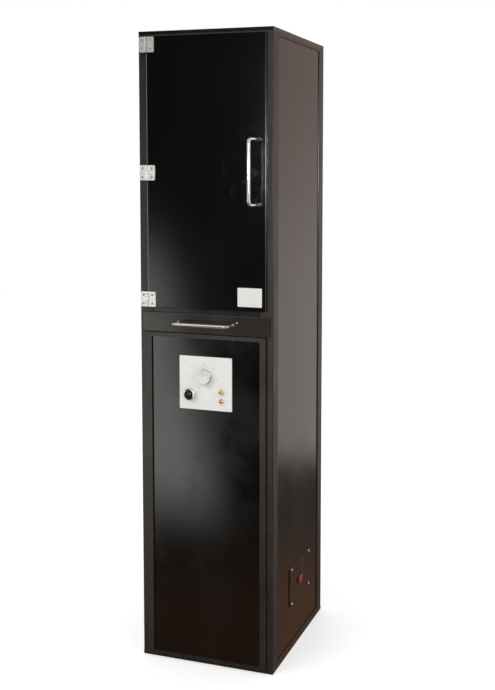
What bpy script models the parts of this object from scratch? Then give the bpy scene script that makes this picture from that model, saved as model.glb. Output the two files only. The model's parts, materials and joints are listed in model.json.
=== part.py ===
"""Tall UV steriliser cabinet: a gloss door over a wide drawer over a service panel with the controls.

Blender 4.5. Metres, +Z up. The origin is the middle of the base plate's underside, the front faces -Y
and the hinges are on the left (-X).
"""
import math

import bmesh
import bpy
from mathutils import Matrix, Vector

# Whole cabinet
WIDTH = 0.400
DEPTH = 0.440
HEIGHT = 1.785
SEAT_GAP = 0.0003          # left between two pieces that touch
RUN_GAP = 0.0002           # left round a pin or a shaft

# Frame
BASE_T = 0.012
CAP_T = 0.010
POST = 0.040
POST_WALL = 0.0025
POST_EDGE = 0.0025
RAIL_DEPTH = 0.020
RAIL_H = 0.010
TOP_CROSS_RAIL_H = 0.020
LOWER_RAIL_Z = 0.938
LOWER_RAIL_H = 0.020
DRAWER_OPENING_H = 0.044
UPPER_RAIL_H = 0.028

# Panels
PANEL_T = 0.002
PANEL_RECESS = 0.003
VENT_COUNT = 7
VENT_LENGTH = 0.110
VENT_H = 0.005
VENT_PITCH = 0.014
VENT_Z = 0.260

# Service panel below the drawer
SERVICE_OVERLAP = 0.020     # onto each front post
SURROUND_T = 0.005
SURROUND_SIDE = 0.017
SURROUND_TOP = 0.011
SURROUND_BOTTOM = 0.008

# Chamber
LINER_T = 0.0015
CHAMBER_PLATE_T = 0.003
CHAMBER_FRONT_INSET = 0.002

# Lamps
TUBE_R = 0.013
TUBE_LENGTH = 0.436
TUBE_CAP = 0.012
TUBE_SIDE_CLEARANCE = 0.0382   # from the side wall to the tube's middle
TUBE_STAND_OFF = 0.030
HOLDER_SIZE = (0.030, 0.044, 0.016)
LAMP_RAIL_SIZE = (0.012, 0.020)
REFLECTOR_T = 0.0010
REFLECTOR_FLAT = 0.014
REFLECTOR_WING = 0.016
REFLECTOR_END_CLEARANCE = 0.018

# Shelves
SHELF_COUNT = 3
SHELF_SIDE_CLEARANCE = 0.0082
SHELF_FRONT_INSET = 0.024
SHELF_LAMP_CLEARANCE = 0.0312
SHELF_CORNER = 0.014
SHELF_ROD_R = 0.0025
SHELF_WIRE_R = 0.0015
SHELF_WIRE_COUNT = 13
SHELF_WELD = 0.0008
RACK_LEDGE = 0.013
RACK_T = 0.0015
RACK_LIP = 0.010
RACK_UPRIGHT = 0.016

# Door
DOOR_OVERLAP_LEFT = 0.0125     # onto the post that carries the hinges
DOOR_OVERLAP_RIGHT = 0.0205
DOOR_OVERLAP_BOTTOM = 0.0095
DOOR_BELOW_TOP = 0.014
DOOR_T = 0.006
DOOR_STAND_OFF = 0.0025
DOOR_EDGE = 0.0008
SEAL_WIDTH = 0.006
SEAL_MARGIN = 0.0015
CATCH_SIZE = (0.014, 0.014, 0.044)
STRIKE_T = 0.0018
SWITCH_BELOW_CEILING = 0.040
SWITCH_SIZE = (0.012, 0.018, 0.028)
PLUNGER_R = 0.0025

# Hinges
HINGE_FROM_BOTTOM = 0.0215
HINGE_FROM_TOP = 0.0235
HINGE_H = 0.042
HINGE_LEAF = 0.025
HINGE_LEAF_T = 0.002
HINGE_CORNER = 0.003
KNUCKLE_R = 0.004
HINGE_PIN_R = 0.0018
HINGE_AXIS_OUTSIDE = 0.0005   # from the door's edge to the pin's middle
HINGE_SPACER_GAP = 0.005   # from the spacer block to the door's edge

# Handles
DOOR_BAR_R = 0.0045
DOOR_HANDLE_REACH = 0.047
HANDLE_BEND = 0.011
HANDLE_STUB = 0.006            # the straight end of a bar that meets its panel
DOOR_HANDLE_CC = 0.176
DOOR_HANDLE_INSET = 0.020
DOOR_HANDLE_OFFSET = 0.0105    # from the feet to the grip, towards the hinges
DOOR_HANDLE_ABOVE_MIDDLE = 0.0037
DRAWER_BAR_R = 0.0045
DRAWER_HANDLE_CC = 0.166
DRAWER_HANDLE_REACH = 0.037

# Drawer
DRAWER_SIDE_INSET = 0.0085
DRAWER_OVERLAP_BELOW = 0.007
DRAWER_OVERLAP_ABOVE = 0.004
DRAWER_REVEAL = 0.002       # between the drawer front and the service panel
DRAWER_FRONT_T = 0.005
DRAWER_EDGE = 0.0015
TRAY_SIDE_GAP = 0.002
TRAY_LENGTH = 0.370
TRAY_H = 0.036
TRAY_WALL = 0.0015
RUNNER_LENGTH = 0.380
RUNNER_H = 0.030
RUNNER_DEPTH = 0.0107
RUNNER_WALL = 0.0015
RUNNER_MOUTH = 0.018
SLIDE_LENGTH = 0.360
SLIDE_WEB_H = 0.014
SLIDE_FLANGE_H = 0.022
SLIDE_FLANGE_T = 0.004

# Control plate and what it carries
CONTROL_X = 0.001
CONTROL_BELOW_TOP = 0.1365   # from the service panel's top edge to the plate's middle
CONTROL_W = 0.158
CONTROL_H = 0.150
CONTROL_T = 0.002
CONTROL_CORNER = 0.0015
KNOB_FROM_MIDDLE = (-0.0025, 0.019)
KNOB_R = 0.0215
KNOB_H = 0.013
KNOB_EDGE = 0.0015
KNOB_FOOT = 0.001
SHAFT_R = 0.003
SHAFT_IN_TIMER = 0.020
TIMER_SIZE = (0.052, 0.040, 0.052)
BUTTON_FROM_MIDDLE = (-0.046, -0.032)
BUTTON_R = 0.0125
BUTTON_PROUD = 0.021
BUTTON_TRAVEL = 0.005
BEZEL_R = 0.0165
BEZEL_H = 0.013
BARREL_LENGTH = 0.018
BARREL_WALL = 0.0013
SWITCH_BODY = 0.022
SOCKET_FROM_MIDDLE = (0.0475, -0.022)
SOCKET_PITCH = 0.0255
SOCKET_R = 0.007
SOCKET_H = 0.0035
SOCKET_NECK_R = 0.0045
SOCKET_NECK_H = 0.008
SOCKET_BORE_R = 0.0025
SOCKET_BORE_DEPTH = 0.010
SOCKET_STRIP = (0.016, 0.004)

# Power entry on the right side
COVER_AT = (0.018, 0.1898)
COVER_SIZE = (0.187, 0.118)
COVER_T = 0.0025
COVER_CORNER = 0.002
ROCKER_FROM_MIDDLE = (-0.007, -0.0043)
ROCKER_LENGTH = 0.027
ROCKER_W = 0.018
ROCKER_PROUD = 0.0042
ROCKER_TILT = math.radians(7.0)
ROCKER_GAP = 0.0006
ROCKER_RIM = 0.003
ROCKER_RIM_H = 0.002
ROCKER_BODY_DEPTH = 0.024
ROCKER_POCKET = 0.013

# Power parts inside and behind
INLET_AT = (-0.080, 0.110)
INLET_FLANGE = (0.048, 0.027)
INLET_FLANGE_T = 0.003
INLET_BODY = (0.029, 0.021)
INLET_BODY_DEPTH = 0.024
INLET_SOCKET = (0.0250, 0.0165)
INLET_SOCKET_DEPTH = 0.017
BALLAST_SIZE = (0.080, 0.200, 0.040)
BALLAST_AT = (0.050, 0.030)
BALLAST_EAR = 0.014
BALLAST_EAR_T = 0.003

# Places worked out from the sizes above
LEFT, RIGHT = -WIDTH / 2, WIDTH / 2
FRONT, REAR = -DEPTH / 2, DEPTH / 2
BAY = WIDTH / 2 - POST                       # half the clear width between two posts
DEEP = DEPTH / 2 - POST                      # half the clear depth between two posts
POST_BOTTOM = BASE_T + SEAT_GAP
POST_TOP = HEIGHT - CAP_T - SEAT_GAP
BASE_RAIL_TOP = BASE_T + RAIL_H
DRAWER_FLOOR_Z = LOWER_RAIL_Z + LOWER_RAIL_H
UPPER_RAIL_Z = DRAWER_FLOOR_Z + DRAWER_OPENING_H
CHAMBER_Z = UPPER_RAIL_Z + UPPER_RAIL_H
CHAMBER_TOP = POST_TOP - TOP_CROSS_RAIL_H
SERVICE_FRONT = FRONT - SEAT_GAP - PANEL_T
SERVICE_BOTTOM_Z = BASE_T + SEAT_GAP
SERVICE_HALF_WIDTH = BAY + SERVICE_OVERLAP
DRAWER_HALF_WIDTH = WIDTH / 2 - DRAWER_SIDE_INSET
DRAWER_BOTTOM = DRAWER_FLOOR_Z - DRAWER_OVERLAP_BELOW
DRAWER_TOP = UPPER_RAIL_Z + DRAWER_OVERLAP_ABOVE
SERVICE_TOP_Z = DRAWER_BOTTOM - DRAWER_REVEAL
CONTROL_Z = SERVICE_TOP_Z - CONTROL_BELOW_TOP
CONTROL_FRONT = SERVICE_FRONT - SEAT_GAP - CONTROL_T
KNOB_AT = (CONTROL_X + KNOB_FROM_MIDDLE[0], CONTROL_Z + KNOB_FROM_MIDDLE[1])
BUTTON_AT = (CONTROL_X + BUTTON_FROM_MIDDLE[0], CONTROL_Z + BUTTON_FROM_MIDDLE[1])
SOCKET_X = CONTROL_X + SOCKET_FROM_MIDDLE[0]
SOCKET_HEIGHTS = (CONTROL_Z + SOCKET_FROM_MIDDLE[1], CONTROL_Z + SOCKET_FROM_MIDDLE[1] - SOCKET_PITCH)
ROCKER_AT = (COVER_AT[0] + ROCKER_FROM_MIDDLE[0], COVER_AT[1] + ROCKER_FROM_MIDDLE[1])
DOOR_LEFT = -BAY - DOOR_OVERLAP_LEFT
DOOR_RIGHT = BAY + DOOR_OVERLAP_RIGHT
DOOR_BOTTOM = CHAMBER_Z - DOOR_OVERLAP_BOTTOM
DOOR_TOP = HEIGHT - DOOR_BELOW_TOP
DOOR_MID_Z = (DOOR_BOTTOM + DOOR_TOP) / 2
DOOR_HANDLE_X = DOOR_RIGHT - DOOR_HANDLE_INSET
DOOR_HANDLE_Z = DOOR_MID_Z + DOOR_HANDLE_ABOVE_MIDDLE
CATCH_Z = DOOR_HANDLE_Z
SWITCH_Z = CHAMBER_TOP - SWITCH_BELOW_CEILING
HINGE_HEIGHTS = (DOOR_BOTTOM + HINGE_FROM_BOTTOM, DOOR_MID_Z, DOOR_TOP - HINGE_FROM_TOP)
HINGE_AXIS_X = DOOR_LEFT - HINGE_AXIS_OUTSIDE
DOOR_BACK = FRONT - DOOR_STAND_OFF
DOOR_FRONT = DOOR_BACK - DOOR_T
LEAF_BACK = DOOR_FRONT - SEAT_GAP
HINGE_AXIS_Y = LEAF_BACK - KNUCKLE_R
LINER_X = BAY - SEAT_GAP - LINER_T
LINER_BACK = DEEP - SEAT_GAP - LINER_T
TUBE_X = LINER_X - TUBE_SIDE_CLEARANCE
TUBE_Y = LINER_BACK - TUBE_STAND_OFF
TUBE_MID_Z = (CHAMBER_Z + CHAMBER_TOP) / 2
REFLECTOR_LENGTH = TUBE_LENGTH - 2 * REFLECTOR_END_CLEARANCE
SHELF_HALF_WIDTH = LINER_X - SHELF_SIDE_CLEARANCE
SHELF_FRONT = FRONT + SHELF_FRONT_INSET
SHELF_REAR = TUBE_Y - TUBE_R - SHELF_LAMP_CLEARANCE
SHELF_PITCH = (CHAMBER_TOP - CHAMBER_Z) / (SHELF_COUNT + 1)
SHELF_FIRST_Z = CHAMBER_Z + SHELF_PITCH
TRAY_HALF_WIDTH = BAY - SEAT_GAP - RUNNER_DEPTH - TRAY_SIDE_GAP
DRAWER_MID_Z = DRAWER_FLOOR_Z + DRAWER_OPENING_H / 2
DRAWER_FACE = FRONT - SEAT_GAP - DRAWER_FRONT_T
SIDE_FACE = RIGHT - PANEL_RECESS
REAR_FACE = REAR - PANEL_RECESS

PARTS = None
CUTTERS = None


# ---------------------------------------------------------------- scene and materials

def clear_scene():
    for old in list(bpy.data.objects):
        bpy.data.objects.remove(old, do_unlink=True)


def make_collections():
    global PARTS, CUTTERS
    PARTS = bpy.data.collections.new("uv_steriliser_cabinet")
    CUTTERS = bpy.data.collections.new("cutters")
    for group in (PARTS, CUTTERS):
        bpy.context.scene.collection.children.link(group)


def finish(name, colour, roughness, metallic=0.0):
    material = bpy.data.materials.new(name)
    material.use_nodes = True
    shader = material.node_tree.nodes["Principled BSDF"]
    shader.inputs["Base Color"].default_value = (*colour, 1.0)
    shader.inputs["Roughness"].default_value = roughness
    shader.inputs["Metallic"].default_value = metallic
    return material


FINISHES = {
    "black_frame": ((0.035, 0.030, 0.028), 0.45, 0.0),
    "black_panel": ((0.020, 0.019, 0.018), 0.30, 0.0),
    "side_sheet": ((0.040, 0.036, 0.033), 0.45, 0.0),
    "gloss_black": ((0.006, 0.006, 0.006), 0.05, 0.0),
    "polished_liner": ((0.70, 0.71, 0.72), 0.25, 1.0),
    "nickel": ((0.75, 0.74, 0.70), 0.18, 1.0),
    "chrome": ((0.80, 0.80, 0.80), 0.08, 1.0),
    "galvanised": ((0.52, 0.54, 0.55), 0.45, 1.0),
    "white_plate": ((0.82, 0.82, 0.80), 0.40, 0.0),
    "satin_silver": ((0.70, 0.70, 0.69), 0.30, 1.0),
    "brass": ((0.62, 0.42, 0.16), 0.25, 1.0),
    "black_plastic": ((0.012, 0.012, 0.012), 0.35, 0.0),
    "red_plastic": ((0.45, 0.02, 0.03), 0.30, 0.0),
    "soft_seal": ((0.02, 0.02, 0.02), 0.90, 0.0),
    "lamp_glass": ((0.75, 0.78, 0.85), 0.10, 0.0),
    "white_plastic": ((0.75, 0.75, 0.72), 0.45, 0.0),
}


# ---------------------------------------------------------------- modelling helpers

def adopt(piece, name, material, group=None):
    """Name a new object, give it its material and move it to its collection."""
    piece.name = name
    piece.data.name = name
    piece.data.materials.clear()
    piece.data.materials.append(bpy.data.materials[material])
    for holder in list(piece.users_collection):
        holder.objects.unlink(piece)
    (group or PARTS).objects.link(piece)
    return piece


def place(name, mesh, material, location=(0, 0, 0)):
    piece = bpy.data.objects.new(name, mesh)
    piece.location = location
    bpy.context.scene.collection.objects.link(piece)
    return adopt(piece, name, material)


def block(name, low, high, material, edge=0.0, segments=2):
    """A box between two corners, with its edges rounded over `edge`."""
    low, high = Vector(low), Vector(high)
    bpy.ops.mesh.primitive_cube_add(size=1.0, location=(low + high) / 2)
    piece = bpy.context.active_object
    piece.scale = high - low
    bpy.ops.object.transform_apply(location=False, rotation=False, scale=True)
    adopt(piece, name, material)
    if edge:
        rounding = piece.modifiers.new("edges", "BEVEL")
        rounding.width = edge
        rounding.segments = segments
        rounding.limit_method = "ANGLE"
    return piece


def rod(name, start, end, radius, material, sides=20):
    """A round bar from one point to another."""
    start, end = Vector(start), Vector(end)
    along = end - start
    turn = along.to_track_quat("Z", "Y").to_euler()
    bpy.ops.mesh.primitive_cylinder_add(vertices=sides, radius=radius, depth=along.length,
                                        location=(start + end) / 2, rotation=turn)
    piece = adopt(bpy.context.active_object, name, material)
    piece.data.shade_smooth()
    piece.data.set_sharp_from_angle(angle=math.radians(40))
    return piece


def turned(name, profile, base, axis, material, steps=32):
    """Revolve (radius, height) points, listed from the top down, about `axis` through `base`."""
    mesh = bpy.data.meshes.new(name)
    points = [(radius, 0.0, height) for radius, height in profile]
    mesh.from_pydata(points, [(i, i + 1) for i in range(len(points) - 1)], [])
    piece = place(name, mesh, material, base)
    piece.rotation_euler = Vector(axis).to_track_quat("Z", "Y").to_euler()
    screw = piece.modifiers.new("turn", "SCREW")
    screw.steps = steps
    screw.render_steps = steps
    screw.use_merge_vertices = True
    screw.merge_threshold = 0.00001
    screw.use_smooth_shade = True
    return piece


def arc(centre, radius, start_deg, end_deg, steps):
    """Points on an arc, both ends included."""
    points = []
    for i in range(steps + 1):
        angle = math.radians(start_deg + (end_deg - start_deg) * i / steps)
        points.append((centre[0] + radius * math.cos(angle), centre[1] + radius * math.sin(angle)))
    return points


def rounded_rectangle(width, height, radius, steps=4):
    across, up = width / 2 - radius, height / 2 - radius
    points = []
    for quarter, (sx, sy) in enumerate(((1, 1), (-1, 1), (-1, -1), (1, -1))):
        points += arc((sx * across, sy * up), radius, 90 * quarter, 90 * quarter + 90, steps)
    return points


def extruded(name, outline, length, centre, turn, material):
    """A flat outline given a thickness of `length`; `turn` is the rotation of its own X, Y, Z."""
    curve = bpy.data.curves.new(name, "CURVE")
    curve.dimensions = "2D"
    curve.fill_mode = "BOTH"
    curve.extrude = length / 2
    spline = curve.splines.new("POLY")
    spline.points.add(len(outline) - 1)
    for point, (x, y) in zip(spline.points, outline):
        point.co = (x, y, 0.0, 1.0)
    spline.use_cyclic_u = True
    shape = bpy.data.objects.new(name + "_outline", curve)
    shape.location = centre
    shape.rotation_euler = turn
    bpy.context.scene.collection.objects.link(shape)
    return meshed(shape, name, material)


def meshed(shape, name, material):
    """Turn a curve object into a closed mesh object in the same place."""
    bpy.context.view_layer.update()
    graph = bpy.context.evaluated_depsgraph_get()
    mesh = bpy.data.meshes.new_from_object(shape.evaluated_get(graph))
    work = bmesh.new()
    work.from_mesh(mesh)
    bmesh.ops.remove_doubles(work, verts=work.verts, dist=0.00001)
    bmesh.ops.recalc_face_normals(work, faces=work.faces)
    work.to_mesh(mesh)
    work.free()
    piece = bpy.data.objects.new(name, mesh)
    piece.matrix_world = shape.matrix_world.copy()
    bpy.context.scene.collection.objects.link(piece)
    bpy.data.objects.remove(shape, do_unlink=True)
    return adopt(piece, name, material)


FACING_FRONT = (math.pi / 2, 0.0, 0.0)              # outline X -> X, Y -> Z, thickness along Y
FACING_SIDE = (math.pi / 2, 0.0, math.pi / 2)       # outline X -> Y, Y -> Z, thickness along X
LYING_FLAT = (0.0, 0.0, 0.0)                        # outline X -> X, Y -> Y, thickness along Z


def filleted(corners, radius, steps=6, closed=False):
    """The corner points of a bent bar with each bend drawn as an arc of `radius`."""
    corners = [Vector(corner) for corner in corners]
    count = len(corners)
    path = []
    for i, corner in enumerate(corners):
        if not closed and i in (0, count - 1):
            path.append(corner)
            continue
        back = (corners[i - 1] - corner).normalized()
        ahead = (corners[(i + 1) % count] - corner).normalized()
        half = back.angle(ahead) / 2
        middle = (back + ahead).normalized()
        centre = corner + middle * (radius / math.sin(half))
        first = corner + back * (radius / math.tan(half)) - centre
        last = corner + ahead * (radius / math.tan(half)) - centre
        for step in range(steps + 1):
            path.append(centre + first.slerp(last, step / steps).normalized() * radius)
    return path


def bent_bar(name, path, radius, material, closed=False, roundness=3):
    """A round bar along a path of points."""
    curve = bpy.data.curves.new(name, "CURVE")
    curve.dimensions = "3D"
    curve.bevel_depth = radius
    curve.bevel_resolution = roundness
    curve.use_fill_caps = not closed
    spline = curve.splines.new("POLY")
    spline.points.add(len(path) - 1)
    for point, place_at in zip(spline.points, path):
        point.co = (*place_at, 1.0)
    spline.use_cyclic_u = closed
    shape = bpy.data.objects.new(name + "_path", curve)
    bpy.context.scene.collection.objects.link(shape)
    piece = meshed(shape, name, material)
    piece.data.shade_smooth()
    return piece


def boolean(target, tool, operation):
    """Cut with, or join to, a helper shape that stays out of the model."""
    step = target.modifiers.new(tool.name, "BOOLEAN")
    step.operation = operation
    step.solver = "EXACT"
    step.object = tool
    for holder in list(tool.users_collection):
        holder.objects.unlink(tool)
    CUTTERS.objects.link(tool)
    tool.hide_render = True
    tool.display_type = "WIRE"


def cut(target, tool):
    boolean(target, tool, "DIFFERENCE")


def fuse(target, tool):
    boolean(target, tool, "UNION")


def settle(piece):
    """Replace a piece's mesh by its finished shape, so it can be copied or joined."""
    bpy.context.view_layer.update()
    graph = bpy.context.evaluated_depsgraph_get()
    mesh = bpy.data.meshes.new_from_object(piece.evaluated_get(graph))
    piece.modifiers.clear()
    piece.data = mesh
    return piece


def join(name, pieces):
    """One node of several separate solids."""
    for piece in pieces:
        settle(piece)
    work = bmesh.new()
    for piece in pieces:
        moved = piece.data.copy()
        moved.transform(piece.matrix_world)
        work.from_mesh(moved)
        bpy.data.meshes.remove(moved)
    mesh = bpy.data.meshes.new(name)
    work.to_mesh(mesh)
    work.free()
    material = pieces[0].data.materials[0].name
    for piece in pieces:
        bpy.data.objects.remove(piece, do_unlink=True)
    return place(name, mesh, material)


def drill(target, points, direction, radius, depth, sides=16):
    """Round holes from each point along `direction`; each starts a little in front of the face."""
    direction = Vector(direction).normalized()
    tools = []
    for i, point in enumerate(points):
        start = Vector(point) - direction * 0.001
        tools.append(rod(f"{target.name}_hole_{i}", start, start + direction * (depth + 0.001),
                         radius, "black_plastic", sides))
    cut(target, join(f"{target.name}_holes_{len(target.modifiers)}", tools))


def carry(empty_name, location, pieces):
    """Hang moving pieces on an empty that lies on their joint's axis."""
    axis = bpy.data.objects.new(empty_name, None)
    axis.location = location
    axis.empty_display_size = 0.02
    PARTS.objects.link(axis)
    bpy.context.view_layer.update()
    for piece in pieces:
        piece.parent = axis
        piece.matrix_parent_inverse = axis.matrix_world.inverted()


# ---------------------------------------------------------------- frame

def make_post(name, x_side, y_side):
    """A square tube at one corner; x_side and y_side are -1 or 1."""
    low = Vector((x_side * BAY, y_side * DEEP, POST_BOTTOM))
    high = Vector((x_side * WIDTH / 2, y_side * DEPTH / 2, POST_TOP))
    corners = [Vector(map(min, zip(low, high))), Vector(map(max, zip(low, high)))]
    post = block(name, corners[0], corners[1], "black_frame")
    upright = post.modifiers.new("edges", "BEVEL")
    upright.width = POST_EDGE
    upright.segments = 3
    upright.limit_method = "WEIGHT"
    weights = post.data.attributes.new("bevel_weight_edge", "FLOAT", "EDGE")
    for edge in post.data.edges:
        first, last = (post.data.vertices[i].co for i in edge.vertices)
        weights.data[edge.index].value = 1.0 if abs(first.z - last.z) > POST else 0.0
    hollow = block(name + "_hollow",
                   corners[0] + Vector((POST_WALL, POST_WALL, -POST_WALL)),
                   corners[1] + Vector((-POST_WALL, -POST_WALL, POST_WALL)), "black_frame")
    cut(post, hollow)
    return post


def make_frame():
    base = block("base_plate", (LEFT, FRONT, 0.0), (RIGHT, REAR, BASE_T), "black_frame", edge=0.0008)
    across = BAY - SEAT_GAP
    deep = DEEP - SEAT_GAP
    sink = BASE_T / 2
    for side in (-1, 1):
        y = side * (DEPTH / 2 - RAIL_DEPTH / 2)
        fuse(base, block(f"base_upstand_y{side}", (-across, y - RAIL_DEPTH / 2, sink),
                         (across, y + RAIL_DEPTH / 2, BASE_RAIL_TOP), "black_frame"))
        x = side * (WIDTH / 2 - RAIL_DEPTH / 2)
        fuse(base, block(f"base_upstand_x{side}", (x - RAIL_DEPTH / 2, -deep, sink),
                         (x + RAIL_DEPTH / 2, deep, BASE_RAIL_TOP), "black_frame"))
    block("top_panel", (LEFT, FRONT, HEIGHT - CAP_T), (RIGHT, REAR, HEIGHT), "black_frame", edge=0.0012)
    for y_name, y_side in (("front", -1), ("rear", 1)):
        for x_name, x_side in (("left", -1), ("right", 1)):
            make_post(f"post_{y_name}_{x_name}", x_side, y_side)
    for name, y in (("top_rail_front", FRONT), ("top_rail_rear", REAR - RAIL_DEPTH)):
        block(name, (-across, y, POST_TOP - TOP_CROSS_RAIL_H), (across, y + RAIL_DEPTH, POST_TOP),
              "black_frame")
    for name, x in (("top_rail_left", LEFT), ("top_rail_right", RIGHT - RAIL_DEPTH)):
        block(name, (x, -deep, POST_TOP - RAIL_H), (x + RAIL_DEPTH, deep, POST_TOP), "black_frame")
    block("drawer_rail_lower", (-across, FRONT, LOWER_RAIL_Z),
          (across, FRONT + RAIL_DEPTH, DRAWER_FLOOR_Z), "black_frame")
    block("drawer_rail_upper", (-across, FRONT, UPPER_RAIL_Z),
          (across, FRONT + RAIL_DEPTH, CHAMBER_Z), "black_frame")


# ---------------------------------------------------------------- panels

def make_panels():
    bottom = BASE_RAIL_TOP + SEAT_GAP
    side_top = POST_TOP - RAIL_H - SEAT_GAP
    deep = DEEP - SEAT_GAP
    block("side_panel_left", (-SIDE_FACE, -deep, bottom), (-SIDE_FACE + PANEL_T, deep, side_top),
          "side_sheet")
    right = block("side_panel_right", (SIDE_FACE - PANEL_T, -deep, bottom), (SIDE_FACE, deep, side_top),
                  "side_sheet")
    room_y = ROCKER_LENGTH / 2 + ROCKER_GAP + ROCKER_RIM
    room_z = ROCKER_W / 2 + ROCKER_GAP + ROCKER_RIM
    cut(right, block("side_panel_cutout",
                     (SIDE_FACE - 2 * PANEL_T, ROCKER_AT[0] - room_y, ROCKER_AT[1] - room_z),
                     (SIDE_FACE + PANEL_T, ROCKER_AT[0] + room_y, ROCKER_AT[1] + room_z), "side_sheet"))

    rear = block("rear_panel", (-BAY + SEAT_GAP, REAR_FACE - PANEL_T, bottom),
                 (BAY - SEAT_GAP, REAR_FACE, POST_TOP - TOP_CROSS_RAIL_H - SEAT_GAP), "side_sheet")
    slots = []
    for i in range(VENT_COUNT):
        z = VENT_Z + i * VENT_PITCH
        slots.append(block(f"vent_{i}", (-VENT_LENGTH / 2, REAR_FACE - 2 * PANEL_T, z),
                           (VENT_LENGTH / 2, REAR_FACE + PANEL_T, z + VENT_H), "side_sheet"))
    cut(rear, join("rear_panel_vents", slots))
    cut(rear, block("inlet_cutout",
                    (INLET_AT[0] - INLET_BODY[0] / 2 - SEAT_GAP, REAR_FACE - 2 * PANEL_T,
                     INLET_AT[1] - INLET_BODY[1] / 2 - SEAT_GAP),
                    (INLET_AT[0] + INLET_BODY[0] / 2 + SEAT_GAP, REAR_FACE + PANEL_T,
                     INLET_AT[1] + INLET_BODY[1] / 2 + SEAT_GAP), "side_sheet"))


def make_service_panel():
    """The sheet below the drawer, with its raised surround."""
    sheet = block("front_panel", (-SERVICE_HALF_WIDTH, SERVICE_FRONT, SERVICE_BOTTOM_Z),
                  (SERVICE_HALF_WIDTH, FRONT - SEAT_GAP, SERVICE_TOP_Z), "black_panel")
    for (x, z), radius in control_holes():
        drill(sheet, [(x, SERVICE_FRONT, z)], (0, 1, 0), radius, PANEL_T + 0.001, sides=24)
    back = SERVICE_FRONT - SEAT_GAP
    surround = block("front_panel_surround", (-SERVICE_HALF_WIDTH, back - SURROUND_T, SERVICE_BOTTOM_Z),
                     (SERVICE_HALF_WIDTH, back, SERVICE_TOP_Z), "black_frame", edge=0.0006)
    cut(surround, block("surround_window",
                        (-SERVICE_HALF_WIDTH + SURROUND_SIDE, back - 2 * SURROUND_T,
                         SERVICE_BOTTOM_Z + SURROUND_BOTTOM),
                        (SERVICE_HALF_WIDTH - SURROUND_SIDE, back + SURROUND_T,
                         SERVICE_TOP_Z - SURROUND_TOP), "black_frame"))


# ---------------------------------------------------------------- chamber

def make_chamber():
    across = BAY - SEAT_GAP
    front = FRONT + CHAMBER_FRONT_INSET
    back = DEEP - SEAT_GAP
    floor_top = CHAMBER_Z + SEAT_GAP + CHAMBER_PLATE_T
    ceiling_bottom = CHAMBER_TOP - SEAT_GAP - CHAMBER_PLATE_T
    block("chamber_floor", (-across, front, CHAMBER_Z + SEAT_GAP), (across, back, floor_top),
          "polished_liner")
    block("chamber_ceiling", (-across, front, ceiling_bottom), (across, back, CHAMBER_TOP - SEAT_GAP),
          "polished_liner")
    outline = [(-across, front), (-across, back), (across, back), (across, front),
               (LINER_X, front), (LINER_X, LINER_BACK), (-LINER_X, LINER_BACK), (-LINER_X, front)]
    low, high = floor_top + SEAT_GAP, ceiling_bottom - SEAT_GAP
    extruded("chamber_liner", outline, high - low, (0, 0, (low + high) / 2), LYING_FLAT, "polished_liner")


def make_lamps():
    low = TUBE_MID_Z - TUBE_LENGTH / 2
    glass_r = TUBE_R - 0.0006
    profile = [(0.0, TUBE_LENGTH), (TUBE_R - 0.002, TUBE_LENGTH), (TUBE_R, TUBE_LENGTH - 0.002),
               (TUBE_R, TUBE_LENGTH - TUBE_CAP), (glass_r, TUBE_LENGTH - TUBE_CAP),
               (glass_r, TUBE_CAP), (TUBE_R, TUBE_CAP), (TUBE_R, 0.002), (TUBE_R - 0.002, 0.0), (0.0, 0.0)]
    for side_name, side in (("left", -1), ("right", 1)):
        turned(f"uv_tube_{side_name}", profile, (side * TUBE_X, TUBE_Y, low), (0, 0, 1), "lamp_glass",
               steps=24)
    height = HOLDER_SIZE[2]
    make_lamp_bracket("lamp_bracket_bottom", low - SEAT_GAP - height)
    make_lamp_bracket("lamp_bracket_top", low + TUBE_LENGTH + SEAT_GAP)
    make_reflector()


def make_lamp_bracket(name, z):
    """A bar across the back wall with a lamp holder at each end."""
    width, depth, height = HOLDER_SIZE
    bar_t, bar_h = LAMP_RAIL_SIZE
    wall = LINER_BACK - SEAT_GAP
    middle = z + height / 2
    bracket = block(name, (-TUBE_X, wall - bar_t, middle - min(bar_h, height) / 2 + 0.001),
                    (TUBE_X, wall, middle + min(bar_h, height) / 2 - 0.001), "white_plastic")
    for side in (-1, 1):
        x = side * TUBE_X
        fuse(bracket, block(f"{name}_holder_{side}", (x - width / 2, wall - depth, z),
                            (x + width / 2, wall, z + height), "white_plastic", edge=0.003))


def make_reflector():
    """One folded sheet behind both tubes: a trough for each, with wings at 45 degrees."""
    back = LINER_BACK - SEAT_GAP
    flat, reach = REFLECTOR_FLAT, REFLECTOR_WING
    crest = [(TUBE_X + side * (flat + reach), back - reach) for side in (1, -1)]
    trough = [(TUBE_X + flat, back), (TUBE_X - flat, back)]
    bend = REFLECTOR_T * math.tan(math.radians(22.5))
    inner_crest = [(crest[0][0], crest[0][1] - REFLECTOR_T * math.sqrt(2)),
                   (crest[1][0] - bend, crest[1][1] - REFLECTOR_T)]
    inner_trough = [(trough[0][0] + bend - REFLECTOR_T, back - REFLECTOR_T),
                    (trough[1][0] - bend + REFLECTOR_T, back - REFLECTOR_T)]
    rear = [crest[0], trough[0], trough[1], crest[1]]
    face = [inner_crest[0], inner_trough[0], inner_trough[1], inner_crest[1]]
    outline = rear + [(-x, y) for x, y in reversed(rear)] + [(-x, y) for x, y in face]
    outline += list(reversed(face))
    extruded("lamp_reflector", outline, REFLECTOR_LENGTH, (0, 0, TUBE_MID_Z), LYING_FLAT, "polished_liner")


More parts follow.
